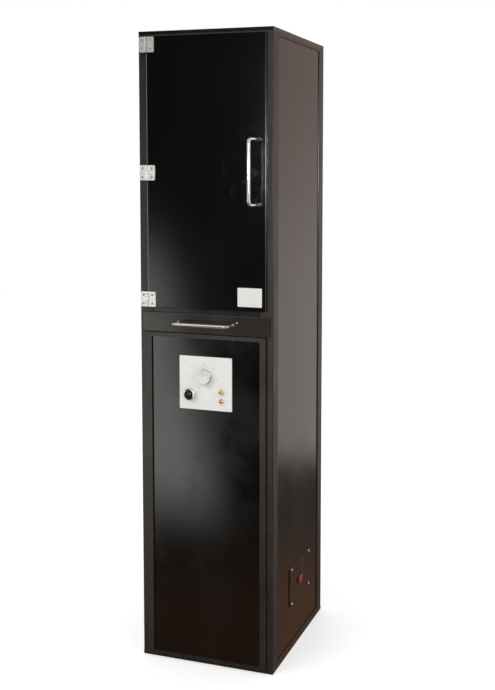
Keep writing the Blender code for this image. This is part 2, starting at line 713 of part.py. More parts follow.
def make_shelves():
    front, rear, side = SHELF_FRONT, SHELF_REAR, SHELF_HALF_WIDTH
    corners = [(-side, front, 0), (side, front, 0), (side, rear, 0), (-side, rear, 0)]
    rack = bent_bar("wire_shelf_1", filleted(corners, SHELF_CORNER, closed=True), SHELF_ROD_R,
                    "chrome", closed=True, roundness=1)
    middle = (front + rear) / 2
    fuse(rack, rod("shelf_cross_rod", (-side, middle, 0), (side, middle, 0),
                   SHELF_ROD_R - SHELF_WELD / 4, "chrome", 8))
    lift = SHELF_ROD_R + SHELF_WIRE_R - SHELF_WELD
    pitch = 2 * side / (SHELF_WIRE_COUNT + 1)
    wires = []
    for i in range(SHELF_WIRE_COUNT):
        x = -side + (i + 1) * pitch
        wires.append(rod(f"shelf_wire_{i}", (x, front - 0.001, lift), (x, rear + 0.001, lift),
                         SHELF_WIRE_R, "chrome", 6))
    fuse(rack, join("shelf_wires", wires))
    settle(rack)
    rack.location.z = SHELF_FIRST_Z
    for i in range(1, SHELF_COUNT):
        place(f"wire_shelf_{i + 1}", rack.data, "chrome", (0, 0, SHELF_FIRST_Z + i * SHELF_PITCH))

    for side_name, hand in (("left", -1), ("right", 1)):
        make_shelf_rack(f"shelf_rack_{side_name}", hand)


def make_shelf_rack(name, hand):
    """Two uprights on a side wall, joined by the ledges that the shelves lie on."""
    wall = hand * (LINER_X - SEAT_GAP)
    face = wall - hand * RACK_T
    seats = [SHELF_FIRST_Z + i * SHELF_PITCH - SHELF_ROD_R - SEAT_GAP for i in range(SHELF_COUNT)]
    low, high = seats[0] - 2 * RACK_LIP, seats[-1] + RACK_LIP
    rack = None
    for y in (SHELF_FRONT + SHELF_CORNER, SHELF_REAR - SHELF_CORNER - RACK_UPRIGHT):
        upright = block(f"{name}_upright", (min(wall, face), y, low),
                        (max(wall, face), y + RACK_UPRIGHT, high), "galvanised")
        if rack:
            fuse(rack, upright)
        else:
            rack = upright
            rack.name = name
    for seat in seats:
        outline = [(wall, seat), (wall - hand * RACK_LEDGE, seat), (wall - hand * RACK_LEDGE, seat - RACK_T),
                   (face, seat - RACK_T), (face, seat - RACK_LIP), (wall, seat - RACK_LIP)]
        fuse(rack, extruded(f"{name}_ledge", outline, SHELF_REAR - SHELF_FRONT,
                            (0, (SHELF_FRONT + SHELF_REAR) / 2, 0), FACING_FRONT, "galvanised"))


def make_door_hardware_inside():
    """The magnetic catch and the interlock switch, both on the chamber's right wall."""
    wall = LINER_X - SEAT_GAP
    width, depth, height = CATCH_SIZE
    block("door_catch", (wall - width, FRONT, CATCH_Z - height / 2),
          (wall, FRONT + depth, CATCH_Z + height / 2), "black_plastic", edge=0.001)
    width, depth, height = SWITCH_SIZE
    switch_front = FRONT + 0.001
    switch = block("door_switch", (wall - width, switch_front, SWITCH_Z - height / 2),
                   (wall, switch_front + depth, SWITCH_Z + height / 2), "black_plastic", edge=0.0008)
    fuse(switch, rod("switch_plunger", (wall - width / 2, DOOR_BACK + SEAT_GAP, SWITCH_Z),
                     (wall - width / 2, switch_front + depth / 2, SWITCH_Z), PLUNGER_R, "black_plastic", 16))


# ---------------------------------------------------------------- door and hinges

def handle_feet(x, z, spacing, upright):
    """The two places where a handle meets its panel, as (x, z)."""
    if upright:
        return [(x, z - spacing / 2), (x, z + spacing / 2)]
    return [(x - spacing / 2, z), (x + spacing / 2, z)]


def make_handle(name, feet, face, reach, radius, offset=0.0):
    """A bent round bar standing off a face that looks towards -Y; its grip lies `offset` towards -X."""
    (x0, z0), (x1, z1) = feet
    root = face - SEAT_GAP
    grip = face - reach
    corners = [(x0, root, z0), (x0 - offset, grip, z0), (x1 - offset, grip, z1), (x1, root, z1)]
    if offset:
        stub = root - HANDLE_STUB
        corners = [corners[0], (x0, stub, z0), *corners[1:3], (x1, stub, z1), corners[3]]
    return bent_bar(name, filleted(corners, HANDLE_BEND), radius, "chrome")


def make_door():
    panel = block("door_panel", (DOOR_LEFT, DOOR_FRONT, DOOR_BOTTOM), (DOOR_RIGHT, DOOR_BACK, DOOR_TOP),
                  "gloss_black", edge=DOOR_EDGE)
    feet = handle_feet(DOOR_HANDLE_X, DOOR_HANDLE_Z, DOOR_HANDLE_CC, upright=True)
    handle = make_handle("door_handle", feet, DOOR_FRONT, DOOR_HANDLE_REACH, DOOR_BAR_R,
                         DOOR_HANDLE_OFFSET)

    near, far = BAY + SEAL_MARGIN, BAY + SEAL_MARGIN + SEAL_WIDTH
    low, high = CHAMBER_Z - SEAL_MARGIN, CHAMBER_TOP + SEAL_MARGIN
    back, front = FRONT - SEAT_GAP, DOOR_BACK + SEAT_GAP
    seal = block("door_seal", (-far, front, low - SEAL_WIDTH), (far, back, high + SEAL_WIDTH), "soft_seal")
    cut(seal, block("seal_window", (-near, front - 0.001, low), (near, back + 0.001, high), "soft_seal"))

    wall = LINER_X - SEAT_GAP
    strike = block("door_strike", (wall - CATCH_SIZE[0], front, CATCH_Z - CATCH_SIZE[2] / 2),
                   (wall, front + STRIKE_T, CATCH_Z + CATCH_SIZE[2] / 2), "nickel")
    leaves = []
    for i, z in enumerate(HINGE_HEIGHTS):
        make_leaf(f"hinge_frame_leaf_{i + 1}", -1, z)
        leaves.append(make_leaf(f"hinge_door_leaf_{i + 1}", 1, z))
    carry("door_axis", (HINGE_AXIS_X, HINGE_AXIS_Y, DOOR_HANDLE_Z), [panel, handle, seal, strike] + leaves)


def make_leaf(name, side, z):
    """One hinge leaf: side -1 goes on the post and holds the pin, 1 goes on the door."""
    bottom, top = z - HINGE_H / 2, z + HINGE_H / 2
    third = HINGE_H / 3
    middle, ends = [(bottom + third, top - third)], [(bottom, bottom + third), (top - third, top)]
    own, other = (ends, middle) if side < 0 else (middle, ends)
    centre = (HINGE_AXIS_X + side * HINGE_LEAF / 2, LEAF_BACK - HINGE_LEAF_T / 2, z)
    leaf = extruded(name, rounded_rectangle(HINGE_LEAF, HINGE_H, HINGE_CORNER), HINGE_LEAF_T, centre,
                    FACING_FRONT, "nickel")
    clear = KNUCKLE_R + RUN_GAP
    for i, (low, high) in enumerate(other):
        cut(leaf, block(f"{name}_notch_{i}", (HINGE_AXIS_X - clear, HINGE_AXIS_Y - clear, low - RUN_GAP),
                        (HINGE_AXIS_X + clear, LEAF_BACK + clear, high + RUN_GAP), "nickel"))
    for i, (low, high) in enumerate(own):
        fuse(leaf, rod(f"{name}_knuckle_{i}", (HINGE_AXIS_X, HINGE_AXIS_Y, max(low, bottom)),
                       (HINGE_AXIS_X, HINGE_AXIS_Y, min(high, top)), KNUCKLE_R, "nickel", 20))
    if side < 0:
        fuse(leaf, block(f"{name}_spacer", (HINGE_AXIS_X - HINGE_LEAF, LEAF_BACK - HINGE_LEAF_T / 2, bottom),
                         (DOOR_LEFT - HINGE_SPACER_GAP, FRONT - SEAT_GAP, top), "nickel"))
        fuse(leaf, rod(f"{name}_pin", (HINGE_AXIS_X, HINGE_AXIS_Y, bottom + third / 2),
                       (HINGE_AXIS_X, HINGE_AXIS_Y, top - third / 2), HINGE_PIN_R, "nickel", 20))
    else:
        cut(leaf, rod(f"{name}_bore", (HINGE_AXIS_X, HINGE_AXIS_Y, bottom), (HINGE_AXIS_X, HINGE_AXIS_Y, top),
                      HINGE_PIN_R + RUN_GAP, "nickel", 20))
    return leaf


# ---------------------------------------------------------------- drawer

def make_drawer():
    face = block("drawer_front", (-DRAWER_HALF_WIDTH, DRAWER_FACE, DRAWER_BOTTOM),
                 (DRAWER_HALF_WIDTH, FRONT - SEAT_GAP, DRAWER_TOP), "black_frame", edge=DRAWER_EDGE)
    feet = handle_feet(0.0, DRAWER_MID_Z, DRAWER_HANDLE_CC, upright=False)
    handle = make_handle("drawer_handle", feet, DRAWER_FACE, DRAWER_HANDLE_REACH, DRAWER_BAR_R)

    bottom = DRAWER_MID_Z - TRAY_H / 2
    tray = block("drawer_tray", (-TRAY_HALF_WIDTH, FRONT, bottom),
                 (TRAY_HALF_WIDTH, FRONT + TRAY_LENGTH, bottom + TRAY_H), "galvanised")
    cut(tray, block("tray_inside", (-TRAY_HALF_WIDTH + TRAY_WALL, FRONT + TRAY_WALL, bottom + TRAY_WALL),
                    (TRAY_HALF_WIDTH - TRAY_WALL, FRONT + TRAY_LENGTH - TRAY_WALL, bottom + 2 * TRAY_H),
                    "galvanised"))
    carry("drawer_axis", (0.0, FRONT, DRAWER_MID_Z), [face, handle, tray] + make_runners())


def make_runners():
    """Channels on the posts, and the T-shaped slides on the tray that run in them."""
    wall = BAY - SEAT_GAP
    mouth_x = wall - RUNNER_DEPTH
    half, lip = RUNNER_H / 2, RUNNER_MOUTH / 2
    channel = [(wall, -half), (wall, half), (mouth_x, half), (mouth_x, lip), (mouth_x + RUNNER_WALL, lip),
               (mouth_x + RUNNER_WALL, half - RUNNER_WALL), (wall - RUNNER_WALL, half - RUNNER_WALL),
               (wall - RUNNER_WALL, -half + RUNNER_WALL), (mouth_x + RUNNER_WALL, -half + RUNNER_WALL),
               (mouth_x + RUNNER_WALL, -lip), (mouth_x, -lip), (mouth_x, -half)]
    root = TRAY_HALF_WIDTH + SEAT_GAP
    tip = wall - RUNNER_WALL - 0.001
    web, flange = SLIDE_WEB_H / 2, SLIDE_FLANGE_H / 2
    neck = tip - SLIDE_FLANGE_T
    tee = [(root, -web), (neck, -web), (neck, -flange), (tip, -flange), (tip, flange), (neck, flange),
           (neck, web), (root, web)]
    slides = []
    for side_name, hand in (("left", -1), ("right", 1)):
        for kind, outline, length, start in (("runner", channel, RUNNER_LENGTH, FRONT + 0.003),
                                             ("slide", tee, SLIDE_LENGTH, FRONT + 0.005)):
            piece = extruded(f"drawer_{kind}_{side_name}", [(hand * x, z) for x, z in outline], length,
                             (0, start + length / 2, DRAWER_MID_Z), FACING_FRONT, "galvanised")
            if kind == "slide":
                slides.append(piece)
    return slides


# ---------------------------------------------------------------- controls

def control_holes():
    """The holes that the control plate and the sheet behind it share: ((x, z), radius)."""
    holes = [(KNOB_AT, SHAFT_R + 2 * SEAT_GAP), (BUTTON_AT, BUTTON_R + 0.0018)]
    holes += [((SOCKET_X, z), SOCKET_NECK_R + SEAT_GAP) for z in SOCKET_HEIGHTS]
    return holes


def make_controls():
    plate = extruded("control_plate", rounded_rectangle(CONTROL_W, CONTROL_H, CONTROL_CORNER), CONTROL_T,
                     (CONTROL_X, CONTROL_FRONT + CONTROL_T / 2, CONTROL_Z), FACING_FRONT, "white_plate")
    for (x, z), radius in control_holes():
        drill(plate, [(x, CONTROL_FRONT, z)], (0, 1, 0), radius, CONTROL_T + 0.001, sides=24)
    make_timer()
    make_push_button()
    make_sockets()


def make_timer():
    x, z = KNOB_AT
    width, depth, height = TIMER_SIZE
    body = block("timer_body", (x - width / 2, FRONT, z - height / 2),
                 (x + width / 2, FRONT + depth, z + height / 2), "black_plastic", edge=0.001)
    drill(body, [(x, FRONT, z)], (0, 1, 0), SHAFT_R + RUN_GAP, SHAFT_IN_TIMER + 0.002, sides=20)
    foot = CONTROL_FRONT - KNOB_FOOT
    profile = [(0.0, KNOB_H), (KNOB_R - 2 * KNOB_EDGE, KNOB_H),
               (KNOB_R - KNOB_EDGE * 0.6, KNOB_H - KNOB_EDGE * 0.6),
               (KNOB_R - KNOB_EDGE * 0.2, KNOB_H - 2 * KNOB_EDGE), (KNOB_R, KNOB_EDGE),
               (KNOB_R - KNOB_EDGE, 0.0), (0.0, 0.0)]
    knob = turned("timer_knob", profile, (x, foot, z), (0, -1, 0), "satin_silver", steps=48)
    fuse(knob, rod("timer_shaft", (x, foot - KNOB_H / 2, z), (x, FRONT + SHAFT_IN_TIMER, z), SHAFT_R,
                   "satin_silver", 20))
    carry("knob_axis", (x, foot, z), [knob])


def make_push_button():
    x, z = BUTTON_AT
    bore = BUTTON_R + 2 * RUN_GAP
    barrel_r = BUTTON_R + BARREL_WALL
    rear = BARREL_LENGTH + SWITCH_BODY
    profile = [(bore, BEZEL_H), (BEZEL_R - 0.001, BEZEL_H), (BEZEL_R, BEZEL_H * 0.6), (BEZEL_R, SEAT_GAP),
               (barrel_r, SEAT_GAP), (barrel_r, -rear), (0.0, -rear), (0.0, -BARREL_LENGTH),
               (bore, -BARREL_LENGTH), (bore, BEZEL_H)]
    turned("push_button_housing", profile, (x, CONTROL_FRONT, z), (0, -1, 0), "chrome", steps=32)
    crown = BUTTON_PROUD - BEZEL_H
    dome = [(BUTTON_R * math.cos(math.radians(a)), BEZEL_H + crown * math.sin(math.radians(a)))
            for a in range(80, -10, -10)]
    foot = -(BARREL_LENGTH - BUTTON_TRAVEL - SEAT_GAP)
    profile = [(0.0, BUTTON_PROUD)] + dome + [(BUTTON_R, foot), (0.0, foot)]
    button = turned("push_button", profile, (x, CONTROL_FRONT, z), (0, -1, 0), "black_plastic", steps=32)
    carry("button_axis", (x, CONTROL_FRONT, z), [button])


def make_sockets():
    """Two round sockets on one strip behind the panel."""
    wide, thick = SOCKET_STRIP
    neck = SOCKET_NECK_R
    back = FRONT + SEAT_GAP
    low, high = min(SOCKET_HEIGHTS) - wide / 2, max(SOCKET_HEIGHTS) + wide / 2
    pair = block("signal_sockets", (SOCKET_X - wide / 2, back, low),
                 (SOCKET_X + wide / 2, back + thick, high), "brass")
    shank = CONTROL_FRONT - (back + thick / 2)
    for i, z in enumerate(SOCKET_HEIGHTS):
        profile = [(0.0, SOCKET_NECK_H), (neck, SOCKET_NECK_H), (neck, SOCKET_H),
                   (SOCKET_R - 0.0006, SOCKET_H), (SOCKET_R, SOCKET_H * 0.7), (SOCKET_R, SEAT_GAP),
                   (neck, SEAT_GAP), (neck, shank), (0.0, shank)]
        fuse(pair, turned(f"socket_{i}", profile, (SOCKET_X, CONTROL_FRONT, z), (0, -1, 0), "brass", 24))
    drill(pair, [(SOCKET_X, CONTROL_FRONT - SOCKET_NECK_H, z) for z in SOCKET_HEIGHTS], (0, 1, 0),
          SOCKET_BORE_R, SOCKET_BORE_DEPTH, 16)


# ---------------------------------------------------------------- power entry

def make_side_power():
    inner = SIDE_FACE + SEAT_GAP
    outer = inner + COVER_T
    y, z = ROCKER_AT
    pocket_y, pocket_z = ROCKER_LENGTH / 2 + ROCKER_GAP, ROCKER_W / 2 + ROCKER_GAP
    body_y, body_z = pocket_y + 0.0012, pocket_z + 0.0012
    cover = extruded("side_cover",
                     rounded_rectangle(*COVER_SIZE, COVER_CORNER, 2),
                     COVER_T, (inner + COVER_T / 2, *COVER_AT), FACING_SIDE, "side_sheet")
    cut(cover, block("cover_cutout", (inner - 0.001, y - body_y - SEAT_GAP, z - body_z - SEAT_GAP),
                     (outer + 0.001, y + body_y + SEAT_GAP, z + body_z + SEAT_GAP), "side_sheet"))

    rim_in = outer + SEAT_GAP
    rim_out = rim_in + ROCKER_RIM_H
    frame = block("rocker_frame", (rim_in, y - pocket_y - ROCKER_RIM, z - pocket_z - ROCKER_RIM),
                  (rim_out, y + pocket_y + ROCKER_RIM, z + pocket_z + ROCKER_RIM), "black_plastic",
                  edge=0.0006)
    fuse(frame, block("rocker_frame_body", (rim_out - ROCKER_BODY_DEPTH, y - body_y, z - body_z),
                      (rim_in + ROCKER_RIM_H / 2, y + body_y, z + body_z), "black_plastic"))
    cut(frame, block("rocker_pocket", (rim_out - ROCKER_POCKET, y - pocket_y, z - pocket_z),
                     (rim_out + 0.001, y + pocket_y, z + pocket_z), "black_plastic"))
    pivot = Vector((rim_out - 0.004, y, z))
    half = ROCKER_LENGTH / 2
    dip = 0.0012
    outline = [(half, 0.0), (half, 0.004 + ROCKER_PROUD - 0.001), (0.0, 0.004 + ROCKER_PROUD - 0.001 - dip),
               (-half, 0.004 + ROCKER_PROUD - 0.001), (-half, 0.0), (-0.004, -0.004), (0.004, -0.004)]
    rocker = extruded("power_rocker", outline, ROCKER_W, (0, 0, 0), LYING_FLAT, "red_plastic")
    turn = Matrix.Rotation(-math.pi / 2 + ROCKER_TILT, 4, "Z")
    rocker.matrix_world = Matrix.Translation(pivot) @ turn
    carry("rocker_axis", pivot, [rocker])


def make_inlet_and_ballast():
    x, z = INLET_AT
    outer = REAR_FACE + SEAT_GAP + INLET_FLANGE_T
    inlet = extruded("mains_inlet", rounded_rectangle(*INLET_FLANGE, 0.003), INLET_FLANGE_T,
                     (x, outer - INLET_FLANGE_T / 2, z), FACING_FRONT, "black_plastic")
    fuse(inlet, block("inlet_body", (x - INLET_BODY[0] / 2, outer - INLET_FLANGE_T - INLET_BODY_DEPTH,
                                     z - INLET_BODY[1] / 2),
                      (x + INLET_BODY[0] / 2, outer - INLET_FLANGE_T / 2, z + INLET_BODY[1] / 2),
                      "black_plastic"))
    cut(inlet, block("inlet_socket", (x - INLET_SOCKET[0] / 2, outer - INLET_SOCKET_DEPTH,
                                      z - INLET_SOCKET[1] / 2),
                     (x + INLET_SOCKET[0] / 2, outer + 0.001, z + INLET_SOCKET[1] / 2), "black_plastic"))

    x, y = BALLAST_AT
    width, length, height = BALLAST_SIZE
    floor = BASE_T + SEAT_GAP
    ballast = block("ballast", (x - width / 2, y - length / 2, floor),
                    (x + width / 2, y + length / 2, floor + height), "galvanised", edge=0.002)
    fuse(ballast, block("ballast_ears", (x - width / 4, y - length / 2 - BALLAST_EAR, floor),
                        (x + width / 4, y + length / 2 + BALLAST_EAR, floor + BALLAST_EAR_T), "galvanised"))


def main():
    clear_scene()
    make_collections()
    for name, (colour, roughness, metallic) in FINISHES.items():
        finish(name, colour, roughness, metallic)
    make_frame()
    make_panels()
    make_service_panel()
    make_chamber()
    make_lamps()
    make_shelves()
    make_door_hardware_inside()
    make_door()
    make_drawer()
    make_controls()
    make_side_power()
    make_inlet_and_ballast()


main()
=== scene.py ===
"""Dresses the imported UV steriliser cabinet: its finishes, its small fittings and a plain studio.

Blender 4.5. Metres, +Z up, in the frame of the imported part: the front faces -Y, the hinges are on -X.
"""

import json
from math import cos, pi, radians, sin, tan, tau

import bmesh
import bpy
from bpy.props import FloatProperty, FloatVectorProperty, IntProperty, PointerProperty
from mathutils import Matrix, Vector


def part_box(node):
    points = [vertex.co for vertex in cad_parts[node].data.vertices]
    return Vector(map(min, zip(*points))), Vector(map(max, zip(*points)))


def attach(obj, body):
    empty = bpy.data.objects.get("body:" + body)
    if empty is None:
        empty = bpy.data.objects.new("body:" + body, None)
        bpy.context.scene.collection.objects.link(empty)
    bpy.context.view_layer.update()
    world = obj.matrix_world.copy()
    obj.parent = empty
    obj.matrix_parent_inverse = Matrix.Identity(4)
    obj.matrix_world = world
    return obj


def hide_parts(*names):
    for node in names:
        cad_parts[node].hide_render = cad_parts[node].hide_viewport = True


bl_info = {
    "name": "UV Steriliser Cabinet",
    "version": (1, 0, 0),
    "blender": (4, 5, 0),
    "location": "3D View > Sidebar > Cabinet",
    "description": "Finishes, fittings and a plain studio for a tall UV steriliser cabinet",
    "category": "Object",
}

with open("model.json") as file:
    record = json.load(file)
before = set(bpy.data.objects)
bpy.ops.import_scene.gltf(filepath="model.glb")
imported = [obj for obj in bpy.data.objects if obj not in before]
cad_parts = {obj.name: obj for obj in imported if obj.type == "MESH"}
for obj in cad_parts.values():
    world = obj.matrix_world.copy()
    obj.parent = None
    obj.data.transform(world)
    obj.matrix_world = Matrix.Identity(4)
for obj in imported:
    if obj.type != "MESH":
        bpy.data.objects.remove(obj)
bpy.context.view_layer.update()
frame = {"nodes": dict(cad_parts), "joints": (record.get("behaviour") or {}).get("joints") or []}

FRONT, UP = (0, -1, 0), (0, 0, 1)   # the ways that turned pieces point
TO_FRONT = (pi / 2, 0.0, 0.0)       # the turns that bring a screw's head round from +Z
TO_RIGHT = (0.0, pi / 2, 0.0)
TO_REAR = (-pi / 2, 0.0, 0.0)
SEAT = 0.0003                       # left between two pieces that touch
PRINT = 0.00012                     # thickness of a printed mark
FLOOR_DROP = 0.0005
SAME_PLACE = 1e-6

# The camera
CAMERA_AT = (1.11703, -2.68835, 1.40232)
CAMERA_YAW, CAMERA_PITCH, CAMERA_ROLL = 0.30877, -0.08073, 0.00536
CAMERA_LENS, CAMERA_SENSOR = 51.118, 36.0
CAMERA_SHIFT = (-0.10414, -0.13684)


# ---------------------------------------------------------------- node trees

class Web:
    """Adds nodes to one tree. A value that is a socket is wired in, and any other value is set."""

    def __init__(self, tree):
        self.tree = tree

    def feed(self, socket, value):
        if isinstance(value, bpy.types.NodeSocket):
            self.tree.links.new(value, socket)
        else:
            socket.default_value = value

    def node(self, kind, inputs=None, **settings):
        node = self.tree.nodes.new(kind)
        for name, value in settings.items():
            setattr(node, name, value)
        for name, value in (inputs or {}).items():
            self.feed(node.inputs[name], value)
        return node

    def add(self, kind, inputs=None, out=0, **settings):
        return self.node(kind, inputs, **settings).outputs[out]

    def maths(self, operation, *values):
        return self.add("ShaderNodeMath", dict(enumerate(values)), operation=operation)

    def plus(self, first, second):
        return self.maths("ADD", first, second)

    def minus(self, first, second):
        return self.maths("SUBTRACT", first, second)

    def times(self, first, *others):
        for other in others:
            first = self.maths("MULTIPLY", first, other)
        return first

    def vector(self, operation, *values, out=0):
        return self.add("ShaderNodeVectorMath", dict(enumerate(values)), out=out, operation=operation)

    def scaled(self, vector, factor):
        return self.add("ShaderNodeVectorMath", {0: vector, "Scale": factor}, operation="SCALE")

    def split(self, vector):
        return self.node("ShaderNodeSeparateXYZ", {"Vector": vector}).outputs

    def xyz(self, **parts):
        return self.add("ShaderNodeCombineXYZ", parts)

    def ramp(self, value, low, high, start=0.0, end=1.0, smooth=True):
        """A value between low and high, turned into one between start and end."""
        return self.add("ShaderNodeMapRange",
                        {"Value": value, "From Min": low, "From Max": high, "To Min": start, "To Max": end},
                        interpolation_type="SMOOTHSTEP" if smooth else "LINEAR")

    def tint(self, factor, first, second):
        node = self.node("ShaderNodeMix", data_type="RGBA")
        for index, value in ((0, factor), (6, first), (7, second)):
            self.feed(node.inputs[index], value)
        return node.outputs[2]

    def noise(self, position, scale, detail=2.0, roughness=0.5):
        return self.add("ShaderNodeTexNoise", {"Vector": position, "Scale": scale, "Detail": detail,
                                               "Roughness": roughness})

    def group(self, name, **inputs):
        """Places a shared shader group and sets its inputs."""
        builder, vectors, values, outputs = SHADER_GROUPS[name]
        sockets = {**dict.fromkeys(vectors, VECTOR), **dict.fromkeys(values, VALUE)}
        tree = shared_tree(name, "ShaderNodeTree", sockets, dict.fromkeys(outputs, VALUE), builder)
        node = self.node("ShaderNodeGroup", node_tree=tree)
        for label, value in {**values, **inputs}.items():
            self.feed(node.inputs[label.replace("_", " ")], value)
        return node.outputs


VALUE, VECTOR, WHOLE, SHAPE = "NodeSocketFloat", "NodeSocketVector", "NodeSocketInt", "NodeSocketGeometry"


def shared_tree(name, kind, inputs, outputs, build):
    """A node tree that is made once, with named inputs and outputs."""
    if name in bpy.data.node_groups:
        return bpy.data.node_groups[name]
    tree = bpy.data.node_groups.new(name, kind)
    for way, sockets in (("INPUT", inputs), ("OUTPUT", outputs)):
        for label, socket_type in sockets.items():
            tree.interface.new_socket(name=label, in_out=way, socket_type=socket_type)
    web = Web(tree)
    start, end = web.node("NodeGroupInput"), web.node("NodeGroupOutput")
    build(web, start.outputs, end.inputs)
    return tree


def build_edge_wear(web, given, wanted):
    """Distance from the nearest edge of a box, broken up so that only stretches of it are rubbed."""
    place = given["Position"]
    x, y, z = web.split(web.vector("MINIMUM", web.vector("SUBTRACT", place, given["Low"]),
                                   web.vector("SUBTRACT", given["High"], place)))
    second = web.maths("MAXIMUM", web.maths("MINIMUM", x, y),
                       web.maths("MINIMUM", web.maths("MAXIMUM", x, y), z))
    edge = web.ramp(second, 0.0, given["Width"], 1.0, 0.0)
    patches = web.ramp(web.noise(place, 38.0, 4.0, 0.65), 0.40, 0.66)
    web.feed(wanted["Mask"], web.times(edge, patches, given["Amount"]))


def build_coat_grain(web, given, wanted):
    """Orange peel of a sprayed coat, with the slow mottle that its gloss has."""
    place, grain = given["Position"], given["Grain"]
    peel = web.noise(place, grain, 1.5, 0.45)
    speck = web.noise(place, web.times(grain, 3.1), 1.0, 0.5)
    web.feed(wanted["Height"], web.plus(web.times(peel, 0.75), web.times(speck, 0.25)))
    web.feed(wanted["Mottle"], web.ramp(web.noise(place, given["Mottle Scale"], 3.0, 0.55), 0.32, 0.70))


def build_dust(web, given, wanted):
    """Fine specks and faint wiped streaks."""
    place, scale = given["Position"], given["Scale"]
    specks = web.ramp(web.noise(place, web.times(scale, 14.0), 2.0, 0.7), 0.60, 0.78)
    stretched = web.vector("MULTIPLY", place, (1.0, 1.0, 0.22))
    streaks = web.ramp(web.noise(stretched, scale, 5.0, 0.62), 0.46, 0.80)
    film = web.plus(web.times(specks, 0.35), web.times(streaks, 0.65))
    web.feed(wanted["Mask"], web.times(film, given["Amount"]))


def build_touch(web, given, wanted):
    """Finger smears that thin out with the distance from a place."""
    place = given["Position"]
    away = web.vector("DISTANCE", place, given["Centre"], out="Value")
    near = web.ramp(away, 0.0, given["Reach"], 1.0, 0.0)
    whorls = web.add("ShaderNodeTexWave", {"Vector": place, "Scale": 240.0, "Distortion": 9.0, "Detail": 2.0,
                                           "Detail Scale": 1.2}, out="Fac")
    blots = web.ramp(web.noise(place, 46.0, 2.0, 0.5), 0.52, 0.66)
    mark = web.times(blots, web.ramp(whorls, 0.0, 1.0, 0.35, 1.0, smooth=False))
    web.feed(wanted["Mask"], web.times(near, mark, given["Amount"]))


def build_brushing(web, given, wanted):
    """Fine parallel scratches: the stretch is large across them and small along them."""
    lines = web.noise(web.vector("MULTIPLY", given["Position"], given["Stretch"]), 1.0, 4.0, 0.6)
    web.feed(wanted["Height"], lines)
    web.feed(wanted["Streak"], web.ramp(lines, 0.30, 0.72))


def build_soft_card(web, given, wanted):
    """How brightly a round soft card shines in one direction; inner and outer are cosines."""
    along = web.vector("DOT_PRODUCT", given["Direction"], given["Toward"], out="Value")
    web.feed(wanted["Light"], web.ramp(along, given["Outer"], given["Inner"]))


SHADER_GROUPS = {   # builder, vector inputs, plain inputs with their usual values, outputs
    "edge_wear": (build_edge_wear, ("Position", "Low", "High"), {"Width": 0.0016, "Amount": 0.5}, ("Mask",)),
    "coat_grain": (build_coat_grain, ("Position",), {"Grain": 620.0, "Mottle Scale": 7.0},
                   ("Height", "Mottle")),
    "dust_film": (build_dust, ("Position",), {"Scale": 16.0, "Amount": 0.2}, ("Mask",)),
    "touch_marks": (build_touch, ("Position", "Centre"), {"Reach": 0.17, "Amount": 0.35}, ("Mask",)),
    "brushing": (build_brushing, ("Position", "Stretch"), {}, ("Height", "Streak")),
    "soft_card": (build_soft_card, ("Direction", "Toward"), {"Outer": 0.95, "Inner": 0.99}, ("Light",)),
}


# ---------------------------------------------------------------- materials

def grey(level):
    return (level, level, level, 1.0)


def shaded(colour, factor):
    return (*(channel * factor for channel in colour), 1.0)


def blank_material(name, **sockets):
    """A new material with its shader's plain sockets set: (material, web, shader, position)."""
    if name in bpy.data.materials:
        raise RuntimeError(f"the material {name} is made twice")
    material = bpy.data.materials.new(name)
    material.use_nodes = True
    shader = material.node_tree.nodes["Principled BSDF"]
    for label, value in sockets.items():
        shader.inputs[label.replace("_", " ")].default_value = value
    web = Web(material.node_tree)
    return material, web, shader, web.add("ShaderNodeTexCoord", out="Object")


def finish_off(web, shader, tone, rough, height=None, strength=0.0, depth=0.0):
    """Wires a colour, a roughness and, where there is one, a fine relief into the shader."""
    web.feed(shader.inputs["Base Color"], tone)
    web.feed(shader.inputs["Roughness"], rough)
    if height:
        web.feed(shader.inputs["Normal"],
                 web.add("ShaderNodeBump", {"Height": height, "Strength": strength, "Distance": depth}))


def sprayed(name, colour, roughness, box=None, dull_side=0.0, grain=620.0, peel=0.08, wear=0.5, dust=0.2,
            dust_scale=16.0, **sockets):
    """Sprayed or powder-coated steel: mottled gloss, orange peel, rubbed edges and a little dust, and where
    asked, painted shade on the outer side faces.
    """
    material, web, shader, position = blank_material(name, **sockets)
    coat = web.group("coat_grain", Position=position, Grain=grain)
    film = web.group("dust_film", Position=position, Scale=dust_scale, Amount=dust)["Mask"]
    tone = web.tint(coat["Mottle"], shaded(colour, 0.86), shaded(colour, 1.12))
    rough = web.ramp(coat["Mottle"], 0.0, 1.0, roughness - 0.035, roughness + 0.035, smooth=False)
    # painted shade: near the outer side faces at the given x the coat is darkened to 0.45 of its colour, and
    # made rougher
    if dull_side:
        across = web.maths("ABSOLUTE", web.split(position)[0])
        outer = web.ramp(across, dull_side - 0.0012, dull_side - 0.0004)
        rough = web.plus(rough, web.times(outer, 0.20))
        tone = web.tint(outer, tone, shaded(colour, 0.45))
    if box:
        rubbed = web.group("edge_wear", Position=position, Low=box[0], High=box[1], Amount=wear)["Mask"]
        tone = web.tint(rubbed, tone, (0.16, 0.145, 0.13, 1.0))
        rough = web.minus(rough, web.times(rubbed, 0.10))
    tone = web.tint(film, tone, (0.20, 0.19, 0.17, 1.0))
    finish_off(web, shader, tone, web.plus(rough, web.times(film, 0.25)), coat["Height"], peel, 0.0003)
    return material


